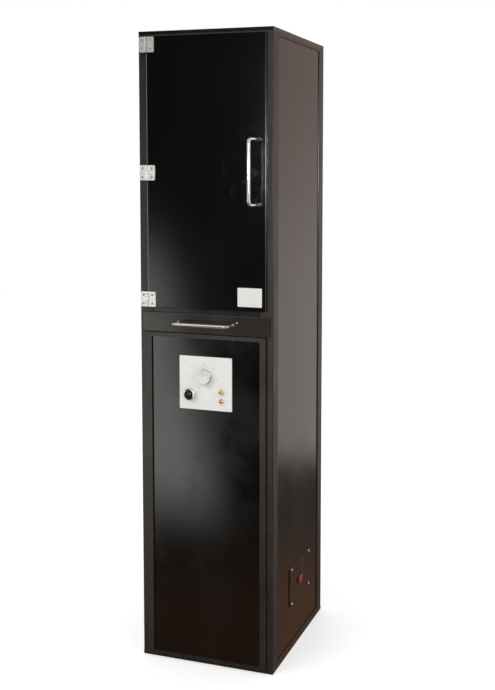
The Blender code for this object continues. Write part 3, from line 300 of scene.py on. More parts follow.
def door_finish(look):
    """Polished black sheet: pale cut edges with a painted highlight that is brightest on the right edge near
    the grip, faint finger smears round the handle, fine dust.
    """
    low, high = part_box("door_panel")
    colour = look.door_colour
    material, web, shader, position = blank_material("door_gloss", IOR=1.58)
    coat = web.group("coat_grain", Position=position, Grain=35.0, Mottle_Scale=4.0)
    film = web.group("dust_film", Position=position, Scale=9.0, Amount=look.dust * 0.10)["Mask"]
    grip_x, _, grip_z = centre_of("door_handle")
    smear = web.group("touch_marks", Position=position, Centre=(grip_x + 0.01, low.y, grip_z))["Mask"]
    marks = web.maths("MAXIMUM", film, smear)
    x, y, z = web.split(position)
    # painted highlight: a light band along the left edge, at about a third of the edge colour
    left = web.ramp(web.minus(x, low.x), 0.0012, 0.0027, 0.34, 0.0)
    # painted highlight on the front strip of the right edge, at most 0.62 of the edge colour
    right = web.ramp(web.minus(high.x, x), 0.0001, 0.0005, 0.62, 0.0)
    near = web.ramp(web.minus(y, low.y), 0.0022, 0.0032, 1.0, 0.0)
    # painted highlight: the right edge is brightest a little above the grip and dims towards the top and
    # bottom
    from_middle = web.maths("ABSOLUTE", web.minus(z, grip_z + 0.04))
    right = web.times(right, near, web.ramp(from_middle, 0.0, 0.32, 1.0, 0.3))
    edge = web.maths("MAXIMUM", left, right)
    tone = web.tint(marks, shaded(colour, 1.0), (0.05, 0.05, 0.052, 1.0))
    tone = web.tint(coat["Mottle"], tone, web.tint(0.5, tone, shaded(colour, 0.7)))
    rough = web.plus(web.ramp(coat["Mottle"], 0.0, 1.0, 0.085, 0.105, smooth=False), web.times(marks, 0.22))
    finish_off(web, shader, web.tint(edge, tone, shaded(look.door_edge_and_highlight_colour, 1.0)),
               web.plus(rough, web.times(edge, 0.22)), coat["Height"], 0.02, 0.0003)
    return material


def worked_metal(name, colour, low, high, stretch, bump=0.05, tarnish=0.15, metallic=1.0):
    """Bare or plated metal: roughness between low and high along fine brushing, with faint tarnish."""
    material, web, shader, position = blank_material(name, Metallic=metallic)
    lines = web.group("brushing", Position=position, Stretch=stretch)
    stain = web.times(web.ramp(web.noise(position, 26.0, 4.0, 0.6), 0.42, 0.75), tarnish)
    tone = web.tint(lines["Streak"], shaded(colour, 0.92), shaded(colour, 1.06))
    rough = web.ramp(lines["Streak"], 0.0, 1.0, low, high, smooth=False)
    tone = web.tint(stain, tone, shaded(colour, 0.55))
    finish_off(web, shader, tone, web.plus(rough, web.times(stain, 0.3)), lines["Height"], bump, 0.0001)
    return material


def moulded(name, colour, roughness, grain=900.0, texture=0.10, dust=0.15, mottle=0.07):
    """Moulded plastic or rubber with a fine spark-eroded grain."""
    material, web, shader, position = blank_material(name)
    coat = web.group("coat_grain", Position=position, Grain=grain, Mottle_Scale=30.0)
    film = web.group("dust_film", Position=position, Scale=60.0, Amount=dust)["Mask"]
    tone = web.tint(coat["Mottle"], shaded(colour, 1.0 - mottle), shaded(colour, 1.0 + mottle))
    rough = web.ramp(coat["Mottle"], 0.0, 1.0, roughness - 0.03, roughness + 0.05, smooth=False)
    finish_off(web, shader, web.tint(film, tone, web.tint(0.5, tone, grey(0.35))),
               web.plus(rough, web.times(film, 0.3)), coat["Height"], texture, 0.0002)
    return material


def tube_glass():
    """Clear glass with a faint violet body and a little sputtered darkening near the ends."""
    material, web, shader, position = blank_material("clear_tube_glass", Transmission_Weight=1.0, IOR=1.46)
    low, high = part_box("uv_tube_left")
    height = web.split(position)[2]
    from_end = web.maths("MINIMUM", web.minus(height, low.z), web.minus(high.z, height))
    ends = web.ramp(from_end, 0.012, 0.050, 1.0, 0.0)
    cloud = web.ramp(web.noise(position, 60.0, 3.0), 0.3, 0.7, 0.55, 1.0)
    tone = web.tint(web.times(ends, cloud), (0.93, 0.93, 0.985, 1.0), (0.42, 0.40, 0.42, 1.0))
    finish_off(web, shader, tone, web.ramp(web.noise(position, 90.0), 0.3, 0.7, 0.02, 0.06))
    return material


def galvanised_finish():
    """Zinc-coated steel with its spangle of crystals."""
    material, web, shader, position = blank_material("zinc_spangle", Metallic=1.0)
    crystals = web.add("ShaderNodeTexVoronoi", {"Vector": position, "Scale": 95.0, "Randomness": 1.0},
                       out="Color")
    facet = web.add("ShaderNodeSeparateColor", {"Color": crystals})
    bloom = web.ramp(web.noise(position, 22.0, 4.0), 0.35, 0.7)
    tone = web.tint(facet, (0.36, 0.38, 0.39, 1.0), (0.60, 0.62, 0.63, 1.0))
    finish_off(web, shader, web.tint(web.times(bloom, 0.35), tone, (0.70, 0.71, 0.71, 1.0)),
               web.ramp(facet, 0.0, 1.0, 0.34, 0.52, smooth=False), facet, 0.05, 0.0002)
    return material


MADE = {}
SATIN, FINE = (500.0, 500.0, 120.0), (800.0, 800.0, 800.0)   # how far brushing is stretched


def make_finishes(look):
    """Every finish that more than one piece can take."""
    MADE.update({
        "panel": sprayed("service_panel_enamel", look.panel_colour, 0.085, grain=260.0, peel=0.02, dust=0.02,
                         IOR=1.6),
        "side": sprayed("side_sheet_coat", look.side_colour, 0.15, grain=520.0, peel=0.03,
                        dust=look.dust * 0.2, dust_scale=8.0),
        "inner_frame": sprayed("inner_frame_coat", look.frame_colour, 0.42, dust=look.dust),
        "liner": worked_metal("polished_liner_sheet", (0.74, 0.75, 0.76), 0.16, 0.26, (60.0, 60.0, 900.0)),
        "nickel": worked_metal("plated_nickel", (0.88, 0.87, 0.84), 0.24, 0.34, SATIN, 0.03, 0.08, 0.45),
        # a darker copy of the plated nickel with more tarnish: painted shade for one hinge
        "painted_shade_nickel": worked_metal("painted_shade_nickel", (0.56, 0.55, 0.53), 0.26, 0.38, SATIN, 0.03, 0.2, 0.45),
        "chrome": worked_metal("bright_chrome", (0.84, 0.84, 0.83), 0.10, 0.14, (900.0, 900.0, 60.0),
                               0.004, 0.03, 0.92),
        "silver": worked_metal("spun_aluminium", (0.86, 0.86, 0.85), 0.22, 0.34, (1400.0, 200.0, 1400.0),
                               0.06),
        "brass": worked_metal("turned_brass", (0.80, 0.62, 0.36), 0.16, 0.26, (900.0, 200.0, 900.0),
                              0.05, 0.15, 0.7),
        "steel": worked_metal("screw_steel", (0.86, 0.86, 0.84), 0.22, 0.34, FINE, 0.05, 0.1, 0.4),
        "hinge_screw": worked_metal("grey_screw", (0.42, 0.41, 0.39), 0.26, 0.36, FINE, 0.05, 0.2, 0.5),
        "dark_steel": worked_metal("blackened_steel", (0.07, 0.065, 0.06), 0.32, 0.44, FINE),
        "galvanised": galvanised_finish(),
        "glass": tube_glass(),
        "black_plastic": moulded("black_moulding", (0.012, 0.012, 0.013), 0.34),
        "button": moulded("button_black", (0.006, 0.006, 0.007), 0.27, 120.0, 0.01, 0.02),
        "knob": moulded("pale_knob", look.knob_colour, 0.30, 500.0, 0.03, 0.03, 0.02),
        "red": moulded("rocker_red", look.rocker_colour, 0.24, 300.0, 0.03, 0.03),
        "seal": moulded("seal_rubber", (0.018, 0.018, 0.018), 0.82, 1500.0, 0.3, 0.4),
        "white_plastic": moulded("lamp_holder_white", (0.74, 0.74, 0.71), 0.42, texture=0.05),
        "plate": moulded("control_plate_white", look.plate_colour, 0.36, 420.0, 0.03, 0.02, 0.012),
        "sticker": moulded("blank_sticker", (0.84, 0.84, 0.81), 0.42, 700.0, 0.03, 0.02, 0.012),
        "ink": moulded("printed_grey", (0.40, 0.40, 0.41), 0.5, texture=0.02, dust=0.1),
    })


def boxed_finish(node, look, colour=None, roughness=0.24, **settings):
    """The frame's coat on one node, with wear that follows that node's own edges."""
    return sprayed("coat_" + node, colour or look.frame_colour, roughness, box=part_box(node), wear=look.wear,
                   dust=look.dust, **settings)


NODE_FINISHES = {
    "inner_frame": ("top_rail_front", "top_rail_rear", "top_rail_left", "top_rail_right",
                    "drawer_rail_lower"),
    "side": ("side_panel_left", "side_panel_right", "rear_panel"),
    "panel": ("front_panel",),
    "liner": ("chamber_floor", "chamber_ceiling", "chamber_liner", "lamp_reflector"),
    "white_plastic": ("lamp_bracket_bottom", "lamp_bracket_top"),
    "galvanised": ("shelf_rack_left", "shelf_rack_right", "drawer_tray", "drawer_slide_left",
                   "drawer_slide_right", "drawer_runner_left", "drawer_runner_right", "ballast"),
    "nickel": ("door_strike", "hinge_door_leaf_1", "hinge_door_leaf_2", "hinge_door_leaf_3",
               "hinge_frame_leaf_1", "hinge_frame_leaf_2", "hinge_frame_leaf_3"),
    "black_plastic": ("door_catch", "door_switch", "timer_body", "rocker_frame", "mains_inlet"),
    "seal": ("door_seal",),
    "plate": ("control_plate",),
    "brass": ("signal_sockets",),
    "chrome": ("wire_shelf_1", "wire_shelf_2", "wire_shelf_3", "door_handle", "drawer_handle",
               "push_button_housing"),
    "knob": ("timer_knob",),
    "button": ("push_button",),
    "red": ("power_rocker",),
    "glass": ("uv_tube_left", "uv_tube_right"),
}
SLOTS = {   # the record's slot for each finish that an added piece takes
    **dict.fromkeys(("nickel", "painted_shade_nickel", "hinge_screw", "steel", "dark_steel"), "nickel"),
    **dict.fromkeys(("ink", "button", "black_plastic"), "black_plastic"),
    "chrome": "chrome", "brass": "brass", "glass": "lamp_glass", "silver": "satin_silver",
    "knob": "white_plastic", "red": "red_plastic", "sticker": "white_plate",
}


def centre_of(node):
    low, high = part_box(node)
    return (low.x + high.x) / 2, (low.y + high.y) / 2, (low.z + high.z) / 2


def dress(node, material):
    """A CAD node keeps its mesh and takes a finish."""
    target = frame["nodes"][node]
    target.data.materials.clear()
    target.data.materials.append(material)


# ---------------------------------------------------------------- mesh helpers

def new_object(name, data):
    thing = bpy.data.objects.new(name, data)
    bpy.context.scene.collection.objects.link(thing)
    return thing


def piece_of(name, mesh, finish, body="cabinet"):
    """An object at the origin that rides on a body and takes one of the script's own finishes."""
    piece = new_object(name, mesh)
    mesh.name = name
    mesh.materials.clear()
    mesh.materials.append(MADE[finish])
    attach(piece, body)
    return piece


def plain_mesh(thing):
    """The mesh that an object comes out as, with its modifiers run."""
    bpy.context.view_layer.update()
    return bpy.data.meshes.new_from_object(thing.evaluated_get(bpy.context.evaluated_depsgraph_get()))


def smooth_by_angle(mesh, degrees=35.0):
    mesh.shade_smooth()
    mesh.set_sharp_from_angle(angle=radians(degrees))


def mesh_of(work, name, degrees=35.0):
    bmesh.ops.recalc_face_normals(work, faces=work.faces)
    mesh = bpy.data.meshes.new(name)
    work.to_mesh(mesh)
    work.free()
    smooth_by_angle(mesh, degrees)
    return mesh


def add_turned(work, profile, base, axis, steps=48):
    """Adds a solid of revolution: (radius, height) points from the top of the axis down to its foot."""
    turn = Vector(axis).to_track_quat("Z", "Y").to_matrix()
    base = Vector(base)
    rings = []
    for radius, height in profile:
        spots = [(radius * cos(tau * i / steps), radius * sin(tau * i / steps), height) for i in range(steps)]
        if radius < SAME_PLACE:
            spots = [(0, 0, height)]
        rings.append([work.verts.new(base + turn @ Vector(spot)) for spot in spots])
    for upper, lower in zip(rings, rings[1:]):
        for i in range(steps):
            j = (i + 1) % steps
            corners = [upper[i % len(upper)], lower[i % len(lower)], lower[j % len(lower)],
                       upper[j % len(upper)]]
            corners = [v for k, v in enumerate(corners) if v not in corners[:k]]
            if len(corners) > 2:
                work.faces.new(corners)


def turned_mesh(name, profile, base, axis, steps, degrees=35.0):
    work = bmesh.new()
    add_turned(work, profile, base, axis, steps)
    return mesh_of(work, name, degrees)


def rounded_profile(points, radius, steps=4):
    """The corners between the first and the last point drawn as small arcs."""
    points = [Vector(p) for p in points]
    drawn = [tuple(points[0])]
    for before, corner, after in zip(points, points[1:], points[2:]):
        back, ahead = (before - corner), (after - corner)
        reach = min(radius, back.length / 2.2, ahead.length / 2.2)
        start, stop = corner + back.normalized() * reach, corner + ahead.normalized() * reach
        for i in range(steps + 1):
            t = i / steps
            drawn.append(tuple(start * (1 - t) ** 2 + corner * 2 * t * (1 - t) + stop * t ** 2))
    return [*drawn, tuple(points[-1])]


def bend_path(corners, radius, steps=14):
    """Points along a bent bar, with an arc at each inner corner."""
    path = [corners[0]]
    for before, corner, after in zip(corners, corners[1:], corners[2:]):
        back, ahead = (before - corner).normalized(), (after - corner).normalized()
        half = back.angle(ahead) / 2
        centre = corner + (back + ahead).normalized() * (radius / sin(half))
        first, last = (corner + way * (radius / tan(half)) - centre for way in (back, ahead))
        path += [centre + first.slerp(last, i / steps).normalized() * radius for i in range(steps + 1)]
    return [*path, corners[-1]]


def add_sweep(work, path, radius, side, sides=24):
    """Adds a round bar along a path; `side` is a direction square to the path at its start."""
    side = Vector(side)
    rings = []
    for i, point in enumerate(path):
        along = (path[min(i + 1, len(path) - 1)] - path[max(i - 1, 0)]).normalized()
        side = (side - along * side.dot(along)).normalized()
        out = along.cross(side).normalized()
        rings.append([work.verts.new(point + (side * cos(a) + out * sin(a)) * radius)
                      for a in (tau * k / sides for k in range(sides))])
    for first, second in zip(rings, rings[1:]):
        for k in range(sides):
            work.faces.new((first[k], first[(k + 1) % sides], second[(k + 1) % sides], second[k]))
    work.faces.new(list(reversed(rings[0])))
    work.faces.new(rings[-1])


def bevel(work, geometry, offset, segments):
    bmesh.ops.bevel(work, geom=geometry, offset=offset, segments=segments, affect="EDGES", profile=0.5)


def add_block(work, low, high, edge=0.0, segments=2):
    """Adds a box between two corners with its edges rounded."""
    low, high = Vector(low), Vector(high)
    made = bmesh.ops.create_cube(work, size=1.0, matrix=Matrix.Translation((low + high) / 2)
                                 @ Matrix.Diagonal((*(high - low), 1.0)))
    if edge:
        bevel(work, list(dict.fromkeys(e for v in made["verts"] for e in v.link_edges)), edge, segments)


def lettering(text, size, depth):
    """Figures as a closed mesh that faces -Y, centred on the origin."""
    curve = bpy.data.curves.new("figures", "FONT")
    curve.body, curve.size, curve.extrude = text, size, depth / 2
    curve.align_x, curve.align_y = "CENTER", "CENTER"
    holder = new_object("figures", curve)
    mesh = plain_mesh(holder)
    bpy.data.objects.remove(holder)
    mesh.transform(Matrix.Rotation(pi / 2, 4, "X"))
    return mesh


# ---------------------------------------------------------------- geometry nodes

def round_bar(web, curve, radius, sides, caps=False):
    ring = web.add("GeometryNodeCurvePrimitiveCircle", {"Resolution": sides, "Radius": radius})
    return web.add("GeometryNodeCurveToMesh", {"Curve": curve, "Profile Curve": ring, "Fill Caps": caps})


def line_along(web, axis, half):
    """A straight curve along one axis, as far to either side of the origin as half."""
    return web.add("GeometryNodeCurvePrimitiveLine", {"Start": web.xyz(**{axis: web.times(half, -1.0)}),
                                                      "End": web.xyz(**{axis: half})})


def ring_points(web, given, angle):
    """Points on an arc in the XZ plane; the angle starts at the top."""
    along = web.xyz(X=web.maths("SINE", angle), Z=web.maths("COSINE", angle))
    return web.add("GeometryNodePoints", {"Count": given["Count"],
                                          "Position": web.scaled(along, given["Radius"])})


def build_fasteners(web, given):
    """A fastener at each point, turned to face one way and then spun by chance about its own axis."""
    points = web.add("GeometryNodeMeshToPoints", {"Mesh": given["Geometry"]})
    head = web.add("GeometryNodeObjectInfo", {"Object": given["Fastener"]}, out="Geometry")
    spin = web.add("FunctionNodeRandomValue", {2: 0.0, 3: tau, "Seed": given["Seed"]}, out=1,
                   data_type="FLOAT")
    placed = web.add("GeometryNodeInstanceOnPoints", {"Points": points, "Instance": head,
                                                      "Rotation": given["Facing"]})
    return web.add("GeometryNodeRotateInstances", {"Instances": placed, "Rotation": web.xyz(Z=spin)})


def build_wire_shelf(web, given):
    """A rod frame with round corners, thin wires from front to back on top of it and a cross rod."""
    width, depth, rod = given["Width"], given["Depth"], given["Rod Radius"]
    outline = web.add("GeometryNodeCurvePrimitiveQuadrilateral", {"Width": width, "Height": depth})
    outline = web.add("GeometryNodeFilletCurve", {"Curve": outline, "Radius": given["Corner"], "Count": 8},
                      mode="POLY")
    rim = round_bar(web, outline, rod, 14)
    half_width = web.times(width, 0.5)
    cross = round_bar(web, line_along(web, "X", half_width), web.times(rod, 0.92), 12)
    pitch = web.maths("DIVIDE", width, web.plus(given["Wires"], 1.0))
    line = web.add("GeometryNodeMeshLine", {
        "Count": given["Wires"], "Offset": web.xyz(X=pitch),
        "Start Location": web.xyz(X=web.minus(pitch, half_width), Z=given["Lift"])})
    reach = web.plus(web.times(depth, 0.5), given["Overrun"])
    wire = round_bar(web, line_along(web, "Y", reach), given["Wire Radius"], 10, caps=True)
    wires = web.add("GeometryNodeInstanceOnPoints", {"Points": line, "Instance": wire})
    whole = web.node("GeometryNodeJoinGeometry")
    for shape in (wires, cross, rim):
        web.tree.links.new(shape, whole.inputs[0])
    return web.add("GeometryNodeTransform", {"Geometry": whole.outputs[0], "Translation": given["Place"]})


def build_dial_marks(web, given):
    """Flat bars on an arc in the XZ plane, every fifth one longer."""
    index = web.add("GeometryNodeInputIndex")
    share = web.maths("DIVIDE", index, web.minus(given["Count"], 1.0))
    angle = web.plus(given["Start"], web.times(share, given["Sweep"]))
    bar = web.add("GeometryNodeMeshCube", {
        "Size": web.xyz(X=given["Line"], Y=given["Thickness"], Z=given["Length"])})
    fifth = web.maths("LESS_THAN", web.maths("MODULO", index, given["Long Every"]), 0.5)
    stretch = web.xyz(X=web.plus(1.0, web.times(fifth, 0.35)), Y=1.0, Z=web.plus(1.0, web.times(fifth, 0.7)))
    return web.add("GeometryNodeInstanceOnPoints", {"Points": ring_points(web, given, angle), "Instance": bar,
                                                    "Rotation": web.xyz(Y=angle), "Scale": stretch})


def build_ribs(web, given):
    """Small round ribs that stand in a ring round the Y axis and run along it."""
    index = web.add("GeometryNodeInputIndex")
    angle = web.times(web.maths("DIVIDE", index, given["Count"]), tau)
    line = line_along(web, "Y", web.times(given["Length"], 0.5))
    rib = round_bar(web, line, given["Rib Radius"], 8, caps=True)
    return web.add("GeometryNodeInstanceOnPoints", {"Points": ring_points(web, given, angle), "Instance": rib,
                                                    "Rotation": web.xyz(Y=angle)})


GROWTHS = {   # builder, plain inputs, other inputs
    "fasteners": (build_fasteners, (), {"Fastener": "NodeSocketObject", "Facing": "NodeSocketRotation",
                                        "Seed": WHOLE}),
    "wire_shelf": (build_wire_shelf,
                   ("Width", "Depth", "Corner", "Rod Radius", "Wire Radius", "Lift", "Overrun"),
                   {"Wires": WHOLE, "Place": VECTOR}),
    "dial_marks": (build_dial_marks,
                   ("Radius", "Start", "Sweep", "Line", "Length", "Thickness", "Long Every"),
                   {"Count": WHOLE}),
    "grip_ribs": (build_ribs, ("Radius", "Rib Radius", "Length"), {"Count": WHOLE}),
}


def growth_tree(name):
    """A Geometry Nodes tree with named inputs that ends in Realize Instances and Set Material."""
    builder, plain, others = GROWTHS[name]

    def whole(web, given, wanted):
        shape = web.add("GeometryNodeRealizeInstances", {"Geometry": builder(web, given)})
        web.feed(wanted["Geometry"], web.add("GeometryNodeSetMaterial", {"Geometry": shape,
                                                                         "Material": given["Finish"]}))
    sockets = {"Geometry": SHAPE, **dict.fromkeys(plain, VALUE), **others, "Finish": "NodeSocketMaterial"}
    return shared_tree(name, "GeometryNodeTree", sockets, {"Geometry": SHAPE}, whole)


def grown(name, kind, finish, points=((0, 0, 0),), **values):
    """Runs a tree on some points and gives back the finished plain mesh."""
    seeds = bpy.data.meshes.new("points")
    seeds.from_pydata([tuple(p) for p in points], [], [])
    holder = new_object(name + "_seed", seeds)
    growth = holder.modifiers.new("growth", "NODES")
    growth.node_group = growth_tree(kind)
    sockets = {item.name: item.identifier for item in growth.node_group.interface.items_tree
               if item.item_type == "SOCKET" and item.in_out == "INPUT"}
    for label, value in {**values, "Finish": MADE[finish]}.items():
        growth[sockets[label.replace("_", " ")]] = value
    mesh = plain_mesh(holder)
    holder.modifiers.remove(growth)
    bpy.data.objects.remove(holder)
    bpy.data.meshes.remove(seeds)
    if not mesh.polygons:
        raise RuntimeError(f"{name} came out empty")
    return mesh


def cross_head(radius, height):
    """A cross-recessed screw head that stands on the XY plane."""
    profile = [(0.0, height)]
    profile += [(radius * sin(radians(a)) * 0.98, height * (0.45 + 0.55 * cos(radians(a))))
                for a in range(15, 91, 15)]
    profile += [(radius, height * 0.25), (radius, -height * 0.2), (0.0, -height * 0.2)]
    head = new_object("cross_head", turned_mesh("cross_head", profile, (0, 0, 0), UP, 28))
    work = bmesh.new()
    reach, half = radius * 0.60, radius * 0.13
    for along, across in ((reach, half), (half, reach)):
        add_block(work, (-along, -across, height * 0.35), (along, across, height * 2))
    tool = new_object("cross_recess", mesh_of(work, "cross_recess"))
    recess = head.modifiers.new("recess", "BOOLEAN")
    recess.object, recess.solver, recess.use_self = tool, "EXACT", True
    mesh = plain_mesh(head)
    head.modifiers.remove(recess)
    bpy.data.objects.remove(tool)
    head.data = mesh
    return head


def fix_screws(name, points, facing, radius, height, finish, seed, body="cabinet"):
    head = cross_head(radius, height)
    mesh = grown(name, "fasteners", finish, points, Fastener=head, Facing=facing, Seed=seed)
    bpy.data.objects.remove(head)
    piece_of(name, mesh, finish, body)


# ---------------------------------------------------------------- the studio

def camera_turn():
    yaw, pitch, roll = CAMERA_YAW, CAMERA_PITCH, CAMERA_ROLL
    forward = Vector((-sin(yaw) * cos(pitch), cos(yaw) * cos(pitch), sin(pitch)))
    right = Vector((cos(yaw), sin(yaw), 0.0))
    up = right.cross(forward)
    across, rise = right * cos(roll) + up * sin(roll), -right * sin(roll) + up * cos(roll)
    return Matrix((across, rise, -forward)).transposed()


def set_camera():
    data = bpy.data.cameras.new("camera")
    data.lens, data.sensor_width = CAMERA_LENS, CAMERA_SENSOR
    data.shift_x, data.shift_y = CAMERA_SHIFT
    data.clip_start, data.clip_end = 0.05, 60.0
    camera = new_object("camera", data)
    camera.matrix_world = Matrix.Translation(CAMERA_AT) @ camera_turn().to_4x4()
    bpy.context.scene.camera = camera


def soft_lamp(name, place, target, size, light, seen_in_gloss=False):
    """A rectangular area lamp, either for gloss or for the rest; `light` is its surface brightness."""
    data = bpy.data.lights.new(name, "AREA")
    data.shape, data.size, data.size_y = "RECTANGLE", *size
    data.energy = light * pi * size[0] * size[1]
    lamp = new_object(name, data)
    lamp.location = place
    lamp.rotation_euler = (Vector(place) - Vector(target)).to_track_quat("Z", "Y").to_euler()
    lamp.visible_glossy, lamp.visible_diffuse = seen_in_gloss, not seen_in_gloss
    lamp.visible_camera = False


def direction(azimuth, elevation):
    """A unit vector; azimuth 0 looks along -Y, away from the front, and turns towards +X."""
    a, e = radians(azimuth), radians(elevation)
    return (sin(a) * cos(e), -cos(a) * cos(e), sin(e))


WINDOW = (1.0, 0.985, 0.94)
WHITE = (1, 1, 1, 1)
SOFT_CARDS = (   # azimuth, elevation, outer and inner angle, colour
    (-78, 8, 34.0, 10.0, (0.50, 0.50, 0.48)),
    (84, 12, 30.0, 8.0, (0.45, 0.44, 0.42)),
    (45, 0, 50.0, 20.0, (0.20, 0.20, 0.20)),
    (-24, 42, 26.0, 10.0, (0.95, 0.88, 0.76)),
    (129, 0, 17.0, 6.0, (1.3, 1.3, 1.3)),
    (-11, 3, 10.0, 4.0, (3.4, 3.0, 3.0)),
    (-11, -12, 9.0, 4.0, (2.4, 2.0, 1.9)),
)


def window_light(web, way, look):
    """A tall bright window low on the left of the room in front; its right edge slants."""
    x, y, z = web.split(way)
    ahead = web.maths("MAXIMUM", web.times(y, -1.0), 0.001)
    across, rise = web.maths("DIVIDE", x, ahead), web.maths("DIVIDE", z, ahead)
    slanted = web.plus(across, web.times(web.plus(rise, 0.308), 0.254))
    borders = (web.ramp(slanted, -0.492, -0.4226, 1.0, 0.0), web.ramp(across, -0.95, -0.72),
               web.ramp(rise, -0.438, -0.329), web.ramp(rise, -0.1325, -0.0388, 1.0, 0.0))
    return web.times(*borders, look.window_light)


def seen_plainly(web):
    """Light Path's outputs, and a value that is 1 for what the camera sees directly or through glass."""
    rays = web.node("ShaderNodeLightPath").outputs
    return rays, web.maths("MAXIMUM", rays["Is Camera Ray"], rays["Is Transmission Ray"])


def emptied(owner):
    owner.use_nodes = True
    owner.node_tree.nodes.clear()
    return Web(owner.node_tree)


def make_world(look):
    """White behind the object, an even fill, and for gloss a dim room with a window and cards."""
    world = bpy.data.worlds.new("plain_studio")
    bpy.context.scene.world = world
    web = emptied(world)
    way = web.add("ShaderNodeTexCoord", out="Generated")
    _, y, z = web.split(way)
    wall = web.tint(web.ramp(z, -0.15, 0.12), (0.82, 0.72, 0.69, 1.0), (0.60, 0.45, 0.40, 1.0))
    boards = web.tint(web.ramp(z, -0.42, -0.32), (0.23, 0.11, 0.063, 1.0), (0.08, 0.075, 0.065, 1.0))
    rear = web.tint(web.ramp(z, -0.302, -0.269), boards, wall)
    front = web.tint(web.ramp(z, -0.42, -0.32), (0.17, 0.085, 0.050, 1.0), grey(look.room_light))
    front = web.tint(web.ramp(z, 0.30, 0.65), front, (0.40, 0.38, 0.35, 1.0))
    room = web.tint(web.ramp(y, -0.10, 0.35), front, rear)
    lights = [(window_light(web, way, look), WINDOW)]
    for azimuth, elevation, outer, inner, colour in SOFT_CARDS:
        card = web.group("soft_card", Direction=way, Toward=direction(azimuth, elevation),
                         Outer=cos(radians(outer)), Inner=cos(radians(inner)))
        lights.append((card["Light"], colour))
    for light, colour in lights:
        room = web.vector("ADD", room, web.scaled(colour, light))
    rays, clear = seen_plainly(web)
    seen = web.tint(rays["Is Glossy Ray"], grey(look.fill_light), room)
    shine = web.add("ShaderNodeBackground", {"Color": web.tint(clear, seen, WHITE), "Strength": 1.0})
    web.node("ShaderNodeOutputWorld", {"Surface": shine})


def make_floor():
    """A pale floor that is lit a little more where the camera sees it, and that gloss doesn't show."""
    work = bmesh.new()
    bmesh.ops.create_grid(work, x_segments=1, y_segments=1, size=7.0)
    mesh = bpy.data.meshes.new("floor")
    work.to_mesh(mesh)
    work.free()
    floor = new_object("floor", mesh)
    material = bpy.data.materials.new("pale_floor")
    web = emptied(material)
    matt = web.add("ShaderNodeBsdfDiffuse", {"Color": grey(0.80)})
    glow = web.add("ShaderNodeEmission", {"Color": WHITE, "Strength": 0.45})
    lifted = web.add("ShaderNodeAddShader", {0: matt, 1: glow})
    mixed = web.add("ShaderNodeMixShader", {"Fac": seen_plainly(web)[1], 1: matt, 2: lifted})
    web.node("ShaderNodeOutputMaterial", {"Surface": mixed})
    mesh.materials.append(material)
    floor.visible_glossy = False
    floor.location.z = -FLOOR_DROP


# ---------------------------------------------------------------- settings

class CabinetLook(bpy.types.PropertyGroup):
    """Colours and finish of the cabinet."""
    frame_colour: FloatVectorProperty(name="Frame colour", description="Coat on the posts, rails and drawer",
                                      subtype="COLOR", size=3, default=(0.0175, 0.0150, 0.0125))
    side_colour: FloatVectorProperty(name="Side sheet colour", description="Coat on the side and rear sheets",
                                     subtype="COLOR", size=3, default=(0.0110, 0.0095, 0.0078))
    panel_colour: FloatVectorProperty(name="Service panel colour", description="Enamel below the drawer",
                                      subtype="COLOR", size=3, default=(0.0026, 0.0025, 0.0020))
    door_colour: FloatVectorProperty(name="Door colour", description="Polished black door sheet",
                                     subtype="COLOR", size=3, default=(0.0018, 0.0019, 0.0017))
    # the pale cut edge of the door, with the painted highlight laid on its edges
    door_edge_and_highlight_colour: FloatVectorProperty(name="Door edge and highlight colour", description="Pale cut edge of the door, with a painted highlight",
                                          subtype="COLOR", size=3, default=(0.50, 0.53, 0.51))
    plate_colour: FloatVectorProperty(name="Control plate colour", description="White control plate",
                                      subtype="COLOR", size=3, default=(0.885, 0.885, 0.86))
    knob_colour: FloatVectorProperty(name="Knob colour", description="Pale timer knob",
                                     subtype="COLOR", size=3, default=(0.80, 0.80, 0.77))
    rocker_colour: FloatVectorProperty(name="Rocker colour", description="Red power rocker",
                                       subtype="COLOR", size=3, default=(0.46, 0.050, 0.060))
    wear: FloatProperty(name="Edge wear", description="How far the coat is rubbed at its edges",
                        subtype="FACTOR", min=0.0, max=1.0, default=0.45)
    dust: FloatProperty(name="Dust", description="How much dust lies on the coat",
                        subtype="FACTOR", min=0.0, max=1.0, default=0.10)
    window_light: FloatProperty(name="Window light", description="Brightness of the window in the gloss",
                                min=0.0, max=5.0, default=2.0)
    fill_light: FloatProperty(name="Fill light", description="Even light from all round",
                              min=0.0, max=2.0, default=0.68)
    room_light: FloatProperty(name="Room light", description="How bright the dim room is in the gloss",
                              min=0.0, max=1.0, default=0.035)


class CabinetFittings(bpy.types.PropertyGroup):
    """Sizes of the small fittings."""
    hinge_screw: FloatProperty(name="Hinge screw", description="Radius of a hinge screw's head",
                               subtype="DISTANCE", unit="LENGTH", default=0.0036)
    sheet_screw: FloatProperty(name="Sheet screw", description="Radius of a sheet screw's head",
                               subtype="DISTANCE", unit="LENGTH", default=0.0034)
    wire_count: IntProperty(name="Shelf wires", description="Wires from front to back on a shelf",
                            min=3, max=40, default=13)
    dial_marks: IntProperty(name="Dial marks", description="Marks on the timer's scale", min=6, max=61,
                            default=31)
    dial_sweep: FloatProperty(name="Dial sweep", description="Angle from the first mark to the last",
                              subtype="ANGLE", unit="ROTATION", default=radians(300.0))
    grip_ribs: IntProperty(name="Knob ribs", description="Ribs round the knob's grip", min=12, max=90,
                           default=48)


def look():
    return bpy.context.scene.cabinet_look


def fittings():
    return bpy.context.scene.cabinet_fittings


# ---------------------------------------------------------------- pieces

